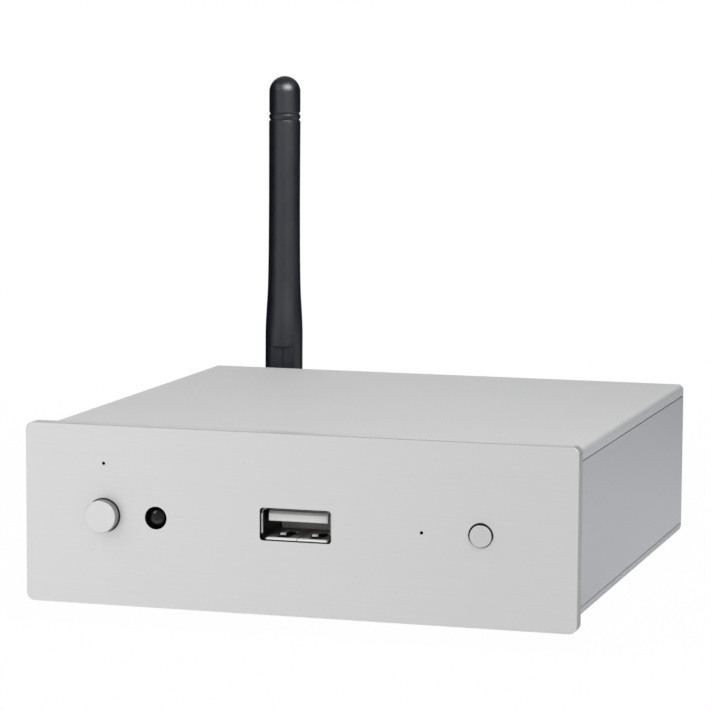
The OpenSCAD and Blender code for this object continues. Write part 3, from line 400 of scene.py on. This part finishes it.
def mouldedPlastic(name, colour, rough, grain, depth, spread=0.15, specular=0.4):
    f = newFinish(name)
    fine = f.noise(grain, 2, 0.6)
    cloud = f.noise(grain * 30, 3, 0.5)
    mix = fine * 0.5 + cloud * 0.5
    mottled = f.tint(f.span(mix, 0.35, 0.65), scaled(colour, 1 - spread), scaled(colour, 1 + spread))
    uneven = f.span(mix, 0.3, 0.7, rough - 0.05, rough + 0.06)
    return f.surface(colour=mottled, specular=specular, rough=uneven, normal=f.bump(fine, depth, 0.5))


# Smoked plastic with a pale crescent at its lower edge, a painted reflection of the floor
windowSetup = {
    "colour": (0.004, 0.004, 0.005, 1), "lens": (0.04, 0.04, 0.041, 1), "radius": 0.9 * mm,
    "grain": 0.4 * mm, "specular": 0.2, "rough": (0.13, 0.18),
}


def smokedWindow(setup):
    f = newFinish("smokedWindow")
    low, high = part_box("infrared_window")
    x, y, z = f.axes(f.place((low + high) / 2))
    reach = (x * x + z * z) ** 0.5
    radius = setup["radius"]
    # Painted reflection: a pale crescent at the lower edge of the window
    crescent = f.span(reach, 0.4 * radius, radius) * f.span(reach, 1.5 * radius, radius)
    crescent = crescent * f.span(z, 0, -0.7 * radius)
    haze = f.noise(setup["grain"], 2, 0.6)
    smooth, dull = setup["rough"]
    return f.surface(colour=f.tint(crescent, setup["colour"], setup["lens"]), specular=setup["specular"],
                     rough=f.span(haze, 0.3, 0.7, smooth, dull), normal=f.bump(haze, 0.002 * mm, 0.3))


# Nickel that is bright at the socket's rolled lip, with painted shade further in, at its front edge, on the
# side lips and in the corners, and a painted shadow under its roof
socketSetup = {
    "bright": (0.95, 0.946, 0.942, 1), "side": 0.6, "dull": grey(0.2), "shade": grey(0.03),
    "nose": grey(0.45), "rimDark": grey(0.02), "cornerDark": grey(0.012), "chalk": 0.7, "line": 20.5 * mm,
    "edge": -60.27 * mm, "from": -60.1 * mm, "to": -59.95 * mm, "roof": 2.5 * mm, "floor": 0.5 * mm,
    "sill": -2.3 * mm, "sillDeep": 1.2 * mm, "sillHalf": 5.6 * mm, "cornerHalf": 5.7 * mm,
    "cornerTop": -1.5 * mm,
}


def socketNickel(setup):
    f = newFinish("socketNickel")
    low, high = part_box("usb_shell")
    x, y, z = f.axes(f.place(((low.x + high.x) / 2, 0, setup["line"])))
    lines = f.noise(0.08 * mm, 2, 0.6, (0.05, 1, 0.4))
    within = f.span(x * x, (setup["sillHalf"] + 0.05 * mm) ** 2, setup["sillHalf"] ** 2)
    sill = f.span(z, setup["sill"], setup["sill"] - 0.1 * mm, 0.0, setup["sillDeep"]) * within
    # Painted shade that deepens further into the socket
    depth = f.span(y - sill + (lines - 0.5) * (0.1 * mm), setup["from"], setup["to"])
    # A rim painted dark as shade at the shell's front edge
    edge = f.span(y, setup["edge"] + 0.03 * mm, setup["edge"] - 0.03 * mm)
    # A painted shadow under the socket's roof
    roof = f.span(z, setup["roof"] - 0.3 * mm, setup["roof"])
    away = f.span(depth + roof, 0, 1)
    # Painted shade: the lips beside the sill are drawn darker than the sill
    bright = f.tint(within, scaled(setup["bright"], setup["side"]), setup["bright"])
    nx, ny, nz = f.facing()
    lower = f.span(z, setup["floor"], 0)
    bed = f.span(nz, 0.5, 0.9) * lower
    # Painted shade inside, darkest on the inner wall that faces right, and painted lighter, as lit, where
    # the lower surfaces face the front
    inner = f.tint(f.span(nx, 0.5, 0.9), setup["dull"], setup["shade"])
    inner = f.tint(f.span(ny, -0.4, -0.8) * lower, inner, setup["nose"])
    colour = f.tint(edge, f.tint(away, bright, inner), setup["rimDark"])
    # Painted shade in the corners beside the sill
    half = setup["cornerHalf"]
    corner = f.span(x * x, half ** 2, (half + 0.2 * mm) ** 2)
    corner = corner * f.span(z, setup["cornerTop"], setup["cornerTop"] - 0.3 * mm)
    colour = f.tint(corner, colour, setup["cornerDark"])
    metal = f.span(away, 0, 1, 1 - setup["chalk"], 1.0) * (1 - bed * 0.7)
    return f.surface(colour=colour, metal=metal, rough=f.span(lines, 0.3, 0.7, 0.28, 0.4),
                     normal=f.bump(lines, 0.003 * mm, 0.25))


def blackPaint():
    f = newFinish("blackPaint")
    peel = f.noise(0.5 * mm, 2, 0.5)
    speck = f.noise(0.18 * mm, 1, 0.5)
    colour = f.tint(f.span(speck, 0.35, 0.65), (0.018, 0.018, 0.02, 1), (0.034, 0.034, 0.037, 1))
    return f.surface(colour=colour, rough=f.span(peel, 0.3, 0.7, 0.42, 0.55), specular=0.45,
                     normal=f.bump(peel * 0.5 + speck * 0.5, 0.02 * mm, 0.5))


def clearPlastic():
    f = newFinish("clearPlastic")
    haze = f.noise(1.2 * mm, 2, 0.5)
    colour = f.tint(haze, (0.82, 0.85, 0.86, 1), (0.92, 0.94, 0.95, 1))
    return f.surface(colour=colour, glass=0.85, ior=1.49, rough=f.span(haze, 0.3, 0.7, 0.05, 0.14))


def circuitBoard():
    f = newFinish("circuitBoard")
    weave = f.noise(0.3 * mm, 2, 0.5)
    spot = f.place(stretch=(1 / (1.6 * mm), 1 / (5.5 * mm), 1))
    tracks = f.node("ShaderNodeTexBrick", {"offset": 0.37, "squash": 1.0}, {
        "Vector": spot, "Scale": 1.0, "Mortar Size": 0.12, "Brick Width": 1.0, "Row Height": 0.5,
        "Color1": (0, 0, 0, 1), "Color2": (0, 0, 0, 1), "Mortar": (1, 1, 1, 1)}, out="Fac")
    mask = f.tint(f.span(weave, 0.3, 0.7), (0.006, 0.016, 0.012, 1), (0.009, 0.021, 0.015, 1))
    colour = f.tint(tracks, mask, (0.012, 0.034, 0.024, 1))
    return f.surface(colour=colour, rough=f.span(weave, 0.3, 0.7, 0.3, 0.42),
                     normal=f.bump(tracks, 0.03 * mm, 0.6))


finishes = {
    "brushed_aluminium": brushedAluminium(brushedSetup),
    "blasted_aluminium": blastedAluminium(blastedSetup),
    "satin_aluminium": satinAluminium(satinSetup),
    "button_aluminium": turnedAluminium("turnedAluminium", (0, 0, 0), turnedSetup),
    "zinc_steel": platedMetal("zincSteel", (0.62, 0.62, 0.63, 1), (0.5, 0.5, 0.52, 1), 0.34, 0.12 * mm),
    "plated_steel": platedMetal("nickelSteel", (0.7, 0.69, 0.68, 1), (0.58, 0.57, 0.57, 1), 0.28, 0.1 * mm),
    "gold_plate": platedMetal("goldPlate", (0.86, 0.62, 0.26, 1), (0.74, 0.5, 0.19, 1), 0.24, 0.1 * mm),
    "black_paint": blackPaint(),
    "black_plastic": mouldedPlastic(
        "blackMoulding", (0.022, 0.022, 0.024, 1), 0.46, 0.16 * mm, 0.012 * mm),
    "grey_plastic": mouldedPlastic("greyMoulding", (0.075, 0.075, 0.08, 1), 0.42, 0.16 * mm, 0.01 * mm),
    "white_plastic": mouldedPlastic(
        "whiteMoulding", (0.74, 0.74, 0.732, 1), 0.4, 0.2 * mm, 0.006 * mm, 0.03),
    "red_plastic": mouldedPlastic(
        "redMoulding", (0.42, 0.02, 0.018, 1), 0.38, 0.2 * mm, 0.006 * mm, 0.08),
    "clear_plastic": clearPlastic(),
    "dark_gloss": smokedWindow(windowSetup),
    "circuit_board": circuitBoard(),
    "capacitor_sleeve": mouldedPlastic(
        "capacitorSleeve", (0.02, 0.028, 0.1, 1), 0.3, 0.5 * mm, 0.004 * mm),
    "foot_rubber": mouldedPlastic(
        "footRubber", (0.02, 0.02, 0.02, 1), 0.72, 0.22 * mm, 0.03 * mm, 0.2, 0.25),
    "aerial_plastic": mouldedPlastic(
        "aerialMoulding", (0.0026, 0.0036, 0.006, 1), 0.34, 0.14 * mm, 0.0014 * mm, 0.1, 0.45),
}
for name, node in nodes.items():
    node.data.materials.clear()
    node.data.materials.append(finishes[slotOf[name]])
print("finishes made:", len(finishes))


# A copy of a node with its triangles merged and its sharp edges rounded
def softEdges(name, node, width, segments=3, sharp=34):
    work = bmesh.new()
    work.from_mesh(nodes[node].data)
    bmesh.ops.remove_doubles(work, verts=work.verts, dist=0.001 * mm)
    bmesh.ops.dissolve_limit(work, angle_limit=math.radians(0.1), verts=work.verts, edges=work.edges)
    work.verts.index_update()
    mesh = bpy.data.meshes.new(name)
    corners = [[vert.index for vert in face.verts] for face in work.faces]
    mesh.from_pydata([vert.co[:] for vert in work.verts], [], corners)
    work.free()
    mesh.polygons.foreach_set("use_smooth", [True] * len(mesh.polygons))
    mesh.set_sharp_from_angle(angle=math.radians(sharp))
    raw = bpy.data.objects.new(name + "Raw", mesh)
    bpy.context.scene.collection.objects.link(raw)
    bevel = raw.modifiers.new("roundEdges", "BEVEL")
    bevel.width = width
    bevel.segments = segments
    bevel.limit_method = "ANGLE"
    bevel.angle_limit = math.radians(sharp)
    bevel.use_clamp_overlap = True
    even = raw.modifiers.new("evenNormals", "WEIGHTED_NORMAL")
    even.weight = 80
    even.keep_sharp = False
    return settle(name, raw)


# Turns an object with modifiers into a plain mesh piece
def settle(name, raw):
    seen = raw.evaluated_get(bpy.context.evaluated_depsgraph_get())
    mesh = bpy.data.meshes.new_from_object(seen)
    mesh.name = name
    bpy.data.objects.remove(raw)
    piece = bpy.data.objects.new(name, mesh)
    bpy.context.scene.collection.objects.link(piece)
    return piece


# A tree of geometry nodes with named inputs, which grows a piece from a plain mesh
class Growth(Graph):
    def __init__(self, name, inputs):
        super().__init__(bpy.data.node_groups.new(name, "GeometryNodeTree"))
        face = self.tree.interface
        face.new_socket("Geometry", in_out="INPUT", socket_type="NodeSocketGeometry")
        for label, kind in inputs.items():
            face.new_socket(label, in_out="INPUT", socket_type="NodeSocket" + kind)
        face.new_socket("Geometry", in_out="OUTPUT", socket_type="NodeSocketGeometry")
        entry = self.tree.nodes.new("NodeGroupInput")
        self.given = {socket.name: Wire(self, socket) for socket in entry.outputs if socket.name}

    def shape(self, label):
        return self.node("GeometryNodeObjectInfo", {"transform_space": "ORIGINAL"},
                         {"Object": self.given[label]}, out="Geometry")

    def close(self, geometry):
        real = self.node("GeometryNodeRealizeInstances", None, {0: geometry})
        painted = self.node("GeometryNodeSetMaterial", None, {
            "Geometry": real, "Material": self.given["Finish"]})
        self.feed(self.tree.nodes.new("NodeGroupOutput").inputs[0], painted)

    def grow(self, name, mesh, values):
        raw = bpy.data.objects.new(name + "Raw", mesh)
        bpy.context.scene.collection.objects.link(raw)
        step = raw.modifiers.new("growth", "NODES")
        step.node_group = self.tree
        for item in self.tree.interface.items_tree:
            if item.in_out == "INPUT" and item.name in values:
                step[item.identifier] = values[item.name]
        return settle(name, raw)


# A mesh object that a tree copies, removed once the piece is grown
def seed(name, verts, faces, sharp=34):
    mesh = bpy.data.meshes.new(name)
    mesh.from_pydata(verts, [], faces)
    work = bmesh.new()
    work.from_mesh(mesh)
    bmesh.ops.recalc_face_normals(work, faces=work.faces)
    work.to_mesh(mesh)
    work.free()
    mesh.polygons.foreach_set("use_smooth", [True] * len(mesh.polygons))
    mesh.set_sharp_from_angle(angle=math.radians(sharp))
    thing = bpy.data.objects.new(name, mesh)
    bpy.context.scene.collection.objects.link(thing)
    return thing


# A solid turned about Y from rings of radius, place along Y and count of flat sides, where 0 is round
def turnedSolid(name, rings, segments=36, hollow=False):
    verts = []
    for radius, along, sides in rings:
        for k in range(segments):
            angle = 2 * math.pi * k / segments
            reach = radius
            if sides:
                part = math.pi / sides
                reach = radius * math.cos(part) / math.cos((angle % (2 * part)) - part)
            verts.append((reach * math.cos(angle) * mm, along * mm, reach * math.sin(angle) * mm))
    faces = []
    if not hollow:
        faces = [tuple(range(segments)), tuple(range(len(verts) - segments, len(verts)))]
    for ring in range(len(rings) if hollow else len(rings) - 1):
        first = ring * segments
        second = (ring + 1) % len(rings) * segments
        for k in range(segments):
            beside = (k + 1) % segments
            faces.append((first + k, first + beside, second + beside, second + k))
    return seed(name, verts, faces)


# A solid drawn along X from an outline of places along Y and Z
def drawnSolid(name, outline, width):
    count = len(outline)
    verts = [(side * width / 2 * mm, y * mm, z * mm) for side in (-1, 1) for y, z in outline]
    faces = [tuple(range(count)), tuple(range(count, 2 * count))]
    for k in range(count):
        after = (k + 1) % count
        faces.append((k, after, after + count, k + count))
    return seed(name, verts, faces)


# The boxes of a node's loose solids
def islands(node):
    work = bmesh.new()
    work.from_mesh(nodes[node].data)
    bmesh.ops.remove_doubles(work, verts=work.verts, dist=0.001 * mm)
    left = set(work.verts)
    found = []
    while left:
        queue = [left.pop()]
        group = list(queue)
        while queue:
            for edge in queue.pop().link_edges:
                for vert in edge.verts:
                    if vert in left:
                        left.remove(vert)
                        queue.append(vert)
                        group.append(vert)
        corners = [[pick(v.co[k] for v in group) for k in range(3)] for pick in (min, max)]
        found.append((Vector(corners[0]), Vector(corners[1])))
    work.free()
    return sorted(found, key=lambda box: box[0][:])


def pointMesh(name, points):
    mesh = bpy.data.meshes.new(name)
    mesh.from_pydata([tuple(point) for point in points], [], [])
    return mesh


# Hands a finished piece to the frame
def handIn(piece, standsFor, finish=None):
    first = standsFor[0]
    piece.data.materials.clear()
    piece.data.materials.append(finish or finishes[slotOf[first]])
    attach(piece, bodyOf[first])
    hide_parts(*standsFor)


# Pieces that are their solids with rounded edges, each with the rounding in millimetres
softened = {
    "frontPlate": ("front_plate", 0.04), "topCover": ("top_cover", 0.08), "baseCover": ("base_cover", 0.08),
    "leftWall": ("left_wall", 0.06), "rightWall": ("right_wall", 0.06), "rearPanel": ("rear_panel", 0.12),
    "opticalHousing": ("optical_housing", 0.12), "opticalShutter": ("optical_shutter", 0.1),
    "networkSocket": ("network_socket", 0.12), "rcaBarrelLeft": ("rca_barrel_left", 0.14),
    "rcaBarrelRight": ("rca_barrel_right", 0.14), "rcaInsertLeft": ("rca_insert_left", 0.12),
    "rcaInsertRight": ("rca_insert_right", 0.12), "powerInlet": ("power_inlet", 0.18),
    "aerialElbow": ("aerial_elbow", 0.16), "aerialWasher": ("aerial_washer", 0.06),
    "aerialNut": ("aerial_nut", 0.15), "usbTongue": ("usb_tongue", 0.12), "usbShell": ("usb_shell", 0.03),
    "aerialSleeve": ("aerial_sleeve", 0.1),
    "aerialHingePin": ("aerial_hinge_pin", 0.12), "infraredWindow": ("infrared_window", 0.03),
    "footFrontLeft": ("foot_front_left", 0.2), "footFrontRight": ("foot_front_right", 0.2),
    "footRearLeft": ("foot_rear_left", 0.2), "footRearRight": ("foot_rear_right", 0.2),
}
ownFinish = {"usb_shell": socketNickel(socketSetup)}
for name, (node, width) in softened.items():
    handIn(softEdges(name, node, width * mm), [node], ownFinish.get(node))
print("edges softened:", len(softened))


# Pan-head screws at the back in millimetres, each turned by chance as a driver leaves it
screwSetup = {
    "height": 1.5, "head": 2.2, "shank": 1.27, "shankLength": 8, "key": 1.05, "keyDeep": 0.85, "turn": 60,
    "seed": 4,
}


def copiesTree():
    g = Growth("turnedCopies", {"Piece": "Object", "Turn": "Float", "Seed": "Int", "Finish": "Material"})
    turn = g.node("FunctionNodeRandomValue", {"data_type": "FLOAT"},
                  {2: 0.0, 3: g.given["Turn"], "Seed": g.given["Seed"]}, out=1)
    angle = g.node("ShaderNodeCombineXYZ", None, {"Y": turn})
    g.close(g.node("GeometryNodeInstanceOnPoints", None, {
        "Points": g.given["Geometry"], "Instance": g.shape("Piece"), "Rotation": angle}))
    return g


def makeScrews(setup):
    top = setup["height"]
    head = setup["head"]
    key = setup["key"]
    deep = top - setup["keyDeep"]
    screw = turnedSolid("screwForm", [
        (setup["shank"], -setup["shankLength"], 0), (setup["shank"], 0, 0), (head - 0.08, 0, 0),
        (head, 0.1, 0), (head, 0.75, 0), (head - 0.06, 1.05, 0), (head - 0.25, 1.3, 0),
        (head - 0.55, 1.45, 0), (head - 0.85, top, 0), (key + 0.08, top, 6), (key, top - 0.08, 6),
        (key, deep, 6), (0.3, deep - 0.1, 0)])
    spots = []
    for low, high in islands("rear_screws") + islands("rca_screw"):
        spots.append(((low.x + high.x) / 2, high.y - top * mm, (low.z + high.z) / 2))
    piece = copiesTree().grow("rearScrews", pointMesh("screwSpots", spots), {
        "Piece": screw, "Turn": math.radians(setup["turn"]), "Seed": setup["seed"],
        "Finish": finishes["zinc_steel"]})
    bpy.data.objects.remove(screw)
    handIn(piece, ["rear_screws", "rca_screw"])


makeScrews(screwSetup)
print("screws made")


# Coupling nut with a ring of grips between two plain collars, in millimetres
couplingSetup = {
    "grips": 20, "outer": 4.25, "root": 3.9, "bore": 3.21, "neck": 2.56, "back": 2.0, "collar": 0.8,
    "bevel": 0.2, "segments": 48,
}


def ringTree():
    g = Growth("gripRing", {"Body": "Object", "Grip": "Object", "Count": "Int", "Centre": "Vector",
                            "Finish": "Material"})
    points = g.node("GeometryNodeMeshLine", {"mode": "OFFSET"}, {
        "Count": g.given["Count"], "Start Location": (0, 0, 0), "Offset": (0, 0, 0)})
    angle = g.node("GeometryNodeInputIndex") * (2 * math.pi) / g.given["Count"]
    turn = g.node("ShaderNodeCombineXYZ", None, {"Y": angle})
    grips = g.node("GeometryNodeInstanceOnPoints", None, {
        "Points": points, "Instance": g.shape("Grip"), "Rotation": turn})
    joined = g.node("GeometryNodeJoinGeometry")
    for part in (g.shape("Body"), grips):
        g.tree.links.new(part.socket, joined.socket.node.inputs[0])
    g.close(g.node("GeometryNodeTransform", None, {"Geometry": joined, "Translation": g.given["Centre"]}))
    return g


def makeCoupling(setup):
    low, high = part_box("aerial_coupling")
    long = (high.y - low.y) / mm
    outer = setup["outer"]
    root = setup["root"]
    collar = setup["collar"]
    bevel = setup["bevel"]
    bore = setup["bore"]
    neck = setup["neck"]
    step = long - setup["back"]
    body = turnedSolid("couplingForm", [
        (neck, step, 0), (bore, step, 0), (bore, 0.15, 0), (bore + 0.15, 0, 0), (outer - bevel, 0, 0),
        (outer, bevel, 0), (outer, collar - 0.1, 0), (root, collar + 0.1, 0),
        (root, long - collar - 0.1, 0), (outer, long - collar + 0.1, 0), (outer, long - bevel, 0),
        (outer - bevel, long, 0), (neck, long, 0)], setup["segments"], True)
    y0 = collar - 0.05
    y1 = long - collar + 0.05
    outline = [(-0.55, root - 0.1), (-0.5, root), (-0.28, outer - 0.05), (-0.15, outer - 0.005),
               (0.15, outer - 0.005), (0.28, outer - 0.05), (0.5, root), (0.55, root - 0.1)]
    verts = [(x * mm, y * mm, z * mm) for y in (y0, y1) for x, z in outline]
    count = len(outline)
    sides = [(k, (k + 1) % count, (k + 1) % count + count, k + count) for k in range(count)]
    grip = seed("gripForm", verts, [tuple(range(count)), tuple(range(count, 2 * count))] + sides)
    piece = ringTree().grow("aerialCoupling", pointMesh("couplingSpot", [(0, 0, 0)]), {
        "Body": body, "Grip": grip, "Count": setup["grips"], "Finish": finishes["gold_plate"],
        "Centre": ((low.x + high.x) / 2, low.y, (low.z + high.z) / 2)})
    bpy.data.objects.remove(body)
    bpy.data.objects.remove(grip)
    handIn(piece, ["aerial_coupling"])


makeCoupling(couplingSetup)
print("coupling made")


# Row of sprung contacts in the network socket, in millimetres
contactSetup = {"width": 0.42, "thick": 0.26, "path": [
    (-0.1, -0.16), (-0.9, -0.16), (-1.4, -0.26), (-6.5, -1.72), (-6.85, -1.93), (-7.05, -1.93)]}


def rowTree():
    g = Growth("contactRow", {"Piece": "Object", "Count": "Int", "Start": "Vector", "Pitch": "Float",
                              "Finish": "Material"})
    points = g.node("GeometryNodeMeshLine", {"mode": "OFFSET"}, {
        "Count": g.given["Count"], "Start Location": g.given["Start"],
        "Offset": g.node("ShaderNodeCombineXYZ", None, {"X": g.given["Pitch"]})})
    g.close(g.node("GeometryNodeInstanceOnPoints", None, {"Points": points, "Instance": g.shape("Piece")}))
    return g


def makeContacts(setup):
    boxes = islands("network_contacts")
    low, high = boxes[0]
    half = setup["thick"] / 2
    outline = [(y, z + half) for y, z in setup["path"]]
    outline += [(y, z - half) for y, z in reversed(setup["path"])]
    pin = drawnSolid("contactForm", outline, setup["width"])
    piece = rowTree().grow("networkContacts", pointMesh("contactSpot", [(0, 0, 0)]), {
        "Piece": pin, "Count": len(boxes), "Start": ((low.x + high.x) / 2, high.y, high.z),
        "Pitch": (boxes[-1][0].x - low.x) / (len(boxes) - 1), "Finish": finishes["gold_plate"]})
    bpy.data.objects.remove(pin)
    handIn(piece, ["network_contacts"])


# Flat contacts under the USB tongue, in millimetres
bladeSetup = {"width": 1.0, "thick": 0.05, "length": 7.0, "bevel": 0.1}


def makeBlades(setup):
    boxes = islands("usb_contacts")
    low, high = boxes[0]
    back = (high.y - low.y) / mm
    front = back - setup["length"]
    thick = setup["thick"]
    outline = [(front, 0), (front + setup["bevel"], -thick), (back, -thick), (back, 0)]
    blade = drawnSolid("bladeForm", outline, setup["width"])
    spots = [((box[0].x + box[1].x) / 2, low.y, high.z) for box in boxes]
    piece = copiesTree().grow("usbContacts", pointMesh("bladeSpots", spots), {
        "Piece": blade, "Turn": 0.0, "Seed": 1, "Finish": finishes["gold_plate"]})
    bpy.data.objects.remove(blade)
    handIn(piece, ["usb_contacts"])


makeContacts(contactSetup)
makeBlades(bladeSetup)
print("contacts made")


# Buttons with a turned finish about their own axis
buttonRounding = 0.05 * mm
for name, node in (("powerButton", "power_button"), ("sourceButton", "source_button")):
    low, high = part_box(node)
    key = keySetup[node]
    own = dict(turnedSetup, colour=grey(key["level"]))
    own.update({fade: key[fade] for fade in ("away", "from", "to")})
    turned = turnedAluminium(name + "Finish", (low + high) / 2, own)
    handIn(softEdges(name, node, buttonRounding), [node], turned)
print("buttons made")


# Floor, white to the camera, with a soft shadow; to reflections it glows brighter at the left front than at
# the right front, which brightens the metal's reflections from the left
stageSetup = {
    "floor": 4.0, "near": 0.985, "nearEnd": 0.14, "farStart": 0.34, "ambient": 0.6,
    "sky": 1.0, "zenith": 0.32, "skySlope": (0.25, 0.7), "sheen": ((-0.14, 1.5), (0.03, 0.7)),
    "backSheen": 1.0, "sheenTurn": (-0.08, 0.02), "flagHeight": 0.36, "flagLevel": 0.02,
    "flags": {
        "leftFlag": ((-0.28, 0.34), (-0.36, 0.05)), "leftSideFlag": ((-0.36, 0.05), (-0.36, -0.24)),
        "rightFlag": ((-0.02, 0.46), (0.36, 0.3)), "rightSideFlag": ((0.36, 0.3), (0.5, 0.05)),
    },
    "lowHeight": 0.07, "lowFlags": {
        "lowLeftFlag": ((-0.1, 0.2), (-0.13, 0.03)), "lowRightFlag": ((-0.02, 0.18), (0.06, 0.14)),
    },
}


# What the picture shows directly or through clear plastic, and what reflections show
def rayKinds(f):
    path = f.node("ShaderNodeLightPath", out="Is Camera Ray")
    outs = path.socket.node.outputs
    seen = f.span(path + Wire(f, outs["Is Transmission Ray"]), 0, 1)
    return seen, Wire(f, outs["Is Glossy Ray"])


def flatSheet(name, corners):
    mesh = bpy.data.meshes.new(name)
    mesh.from_pydata(corners, [], [(0, 1, 2, 3)])
    sheet = bpy.data.objects.new(name, mesh)
    bpy.context.scene.collection.objects.link(sheet)
    return sheet


def makeFloor(setup):
    half = setup["floor"] / 2
    floor = flatSheet("floor", [(-half, -half, 0), (half, -half, 0), (half, half, 0), (-half, half, 0)])
    f = newFinish("palePaper")
    fibre = f.noise(3 * mm, 3, 0.5)
    f.surface(colour=f.tint(fibre, (0.86, 0.86, 0.86, 1), (0.9, 0.9, 0.9, 1)), rough=0.9, specular=0.1)
    x, y, z = f.axes(f.place())
    glowLevel = f.span((x * x + y * y) ** 0.5, setup["nearEnd"], setup["farStart"], setup["near"], 1.0)
    seen, gloss = rayKinds(f)
    (left, leftLevel), (right, rightLevel) = setup["sheen"]
    front = f.span(x, left, right, leftLevel, rightLevel)
    behind = f.span(y, *setup["sheenTurn"])
    sheen = f.tint(gloss, (1, 1, 1, 1), f.tint(behind, front, grey(setup["backSheen"])))
    glow = f.node("ShaderNodeEmission", None, {"Color": sheen, "Strength": 1.0})
    paper = Wire(f, f.tree.nodes["Principled BSDF"].outputs[0])
    mixed = f.node("ShaderNodeMixShader", None, {
        0: f.span(seen + gloss, 0, 1) * glowLevel, 1: paper, 2: glow})
    f.feed(f.tree.nodes["Material Output"].inputs["Surface"], mixed)
    floor.data.materials.append(f.owner)


# A dark card outside the picture that keeps the edges dark
def makeFlag(name, ends, top, setup):
    (x0, y0), (x1, y1) = ends
    card = flatSheet(name, [(x0, y0, 0), (x1, y1, 0), (x1, y1, top), (x0, y0, top)])
    f = newFinish(name + "Felt")
    nap = f.noise(2 * mm, 3, 0.6)
    level = setup["flagLevel"]
    f.surface(colour=f.tint(nap, grey(level * 0.7), grey(level * 1.3)), rough=0.95, specular=0.05)
    card.data.materials.append(f.owner)
    card.visible_camera = False


def makeWorld(setup):
    world = bpy.data.worlds.new("studio")
    bpy.context.scene.world = world
    w = Finish(world)
    seen, gloss = rayKinds(w)
    x, y, z = w.axes(w.node("ShaderNodeTexCoord", out="Generated"))
    low, high = setup["skySlope"]
    sky = w.span(z, low, high, setup["sky"], setup["zenith"])
    level = w.tint(gloss, w.tint(seen, grey(setup["ambient"]), (1, 1, 1, 1)), sky)
    w.feed(w.tree.nodes["Background"].inputs["Color"], level)


# Lamps placed by their bearing from the front, their height angle and their distance
lampSetup = {
    "keyBox": {"bearing": 45, "height": 37, "distance": 0.7, "size": (0.3, 0.28), "power": 2.2},
    "broadBox": {"bearing": -50, "height": 36, "distance": 0.42, "size": (0.4, 0.3), "power": 0.5},
    "tipBox": {"bearing": 40, "height": 37, "distance": 0.7, "size": (0.72, 0.4), "power": 13.3},
    "windowBox": {"bearing": -47, "height": 31, "distance": 0.42, "size": (0.17, 0.14), "power": 0.6},
}
caseAim = (0, 0, 0.03)
tipDrop = 6 * mm


def softbox(name, aim):
    setup = lampSetup[name]
    data = bpy.data.lights.new(name, "AREA")
    data.shape = "RECTANGLE"
    data.size, data.size_y = setup["size"]
    data.energy = setup["power"]
    lamp = bpy.data.objects.new(name, data)
    bpy.context.scene.collection.objects.link(lamp)
    way = wayFrom(setup["bearing"], setup["height"])
    lamp.location = Vector(aim) + way * setup["distance"]
    lamp.rotation_euler = (-way).to_track_quat("-Z", "Y").to_euler()
    return lamp


# Lets a lamp light these pieces only
def lightOnly(lamp, pieces):
    lit = bpy.data.collections.new(lamp.name + "Pieces")
    for piece in pieces:
        lit.objects.link(piece)
    lamp.light_linking.receiver_collection = lit


# Takes the shadow of one piece away from a lamp
def spareShadow(lamp, piece):
    spared = bpy.data.collections.new(lamp.name + "Spared")
    spared.objects.link(piece)
    lamp.light_linking.blocker_collection = spared
    spared.collection_objects[0].light_linking.link_state = "EXCLUDE"


makeFloor(stageSetup)
for name, ends in stageSetup["flags"].items():
    makeFlag(name, ends, stageSetup["flagHeight"], stageSetup)
for name, ends in stageSetup["lowFlags"].items():
    makeFlag(name, ends, stageSetup["lowHeight"], stageSetup)
makeWorld(stageSetup)
spareShadow(softbox("keyBox", caseAim), bpy.data.objects["powerButton"])
softbox("broadBox", caseAim)

# One lamp is for the glint on the aerial's tip, and one for the glint in the infrared window
low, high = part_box("aerial_sleeve")
tip = ((low.x + high.x) / 2, (low.y + high.y) / 2, high.z - tipDrop)
meshes = [piece for piece in bpy.context.scene.objects if piece.type == "MESH"]
aerialPieces = [piece for piece in meshes if finishes["aerial_plastic"] in list(piece.data.materials)]
lightOnly(softbox("tipBox", tip), aerialPieces)
low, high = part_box("infrared_window")
lightOnly(softbox("windowBox", (low + high) / 2), [bpy.data.objects["infraredWindow"]])
print("stage and lamps set")
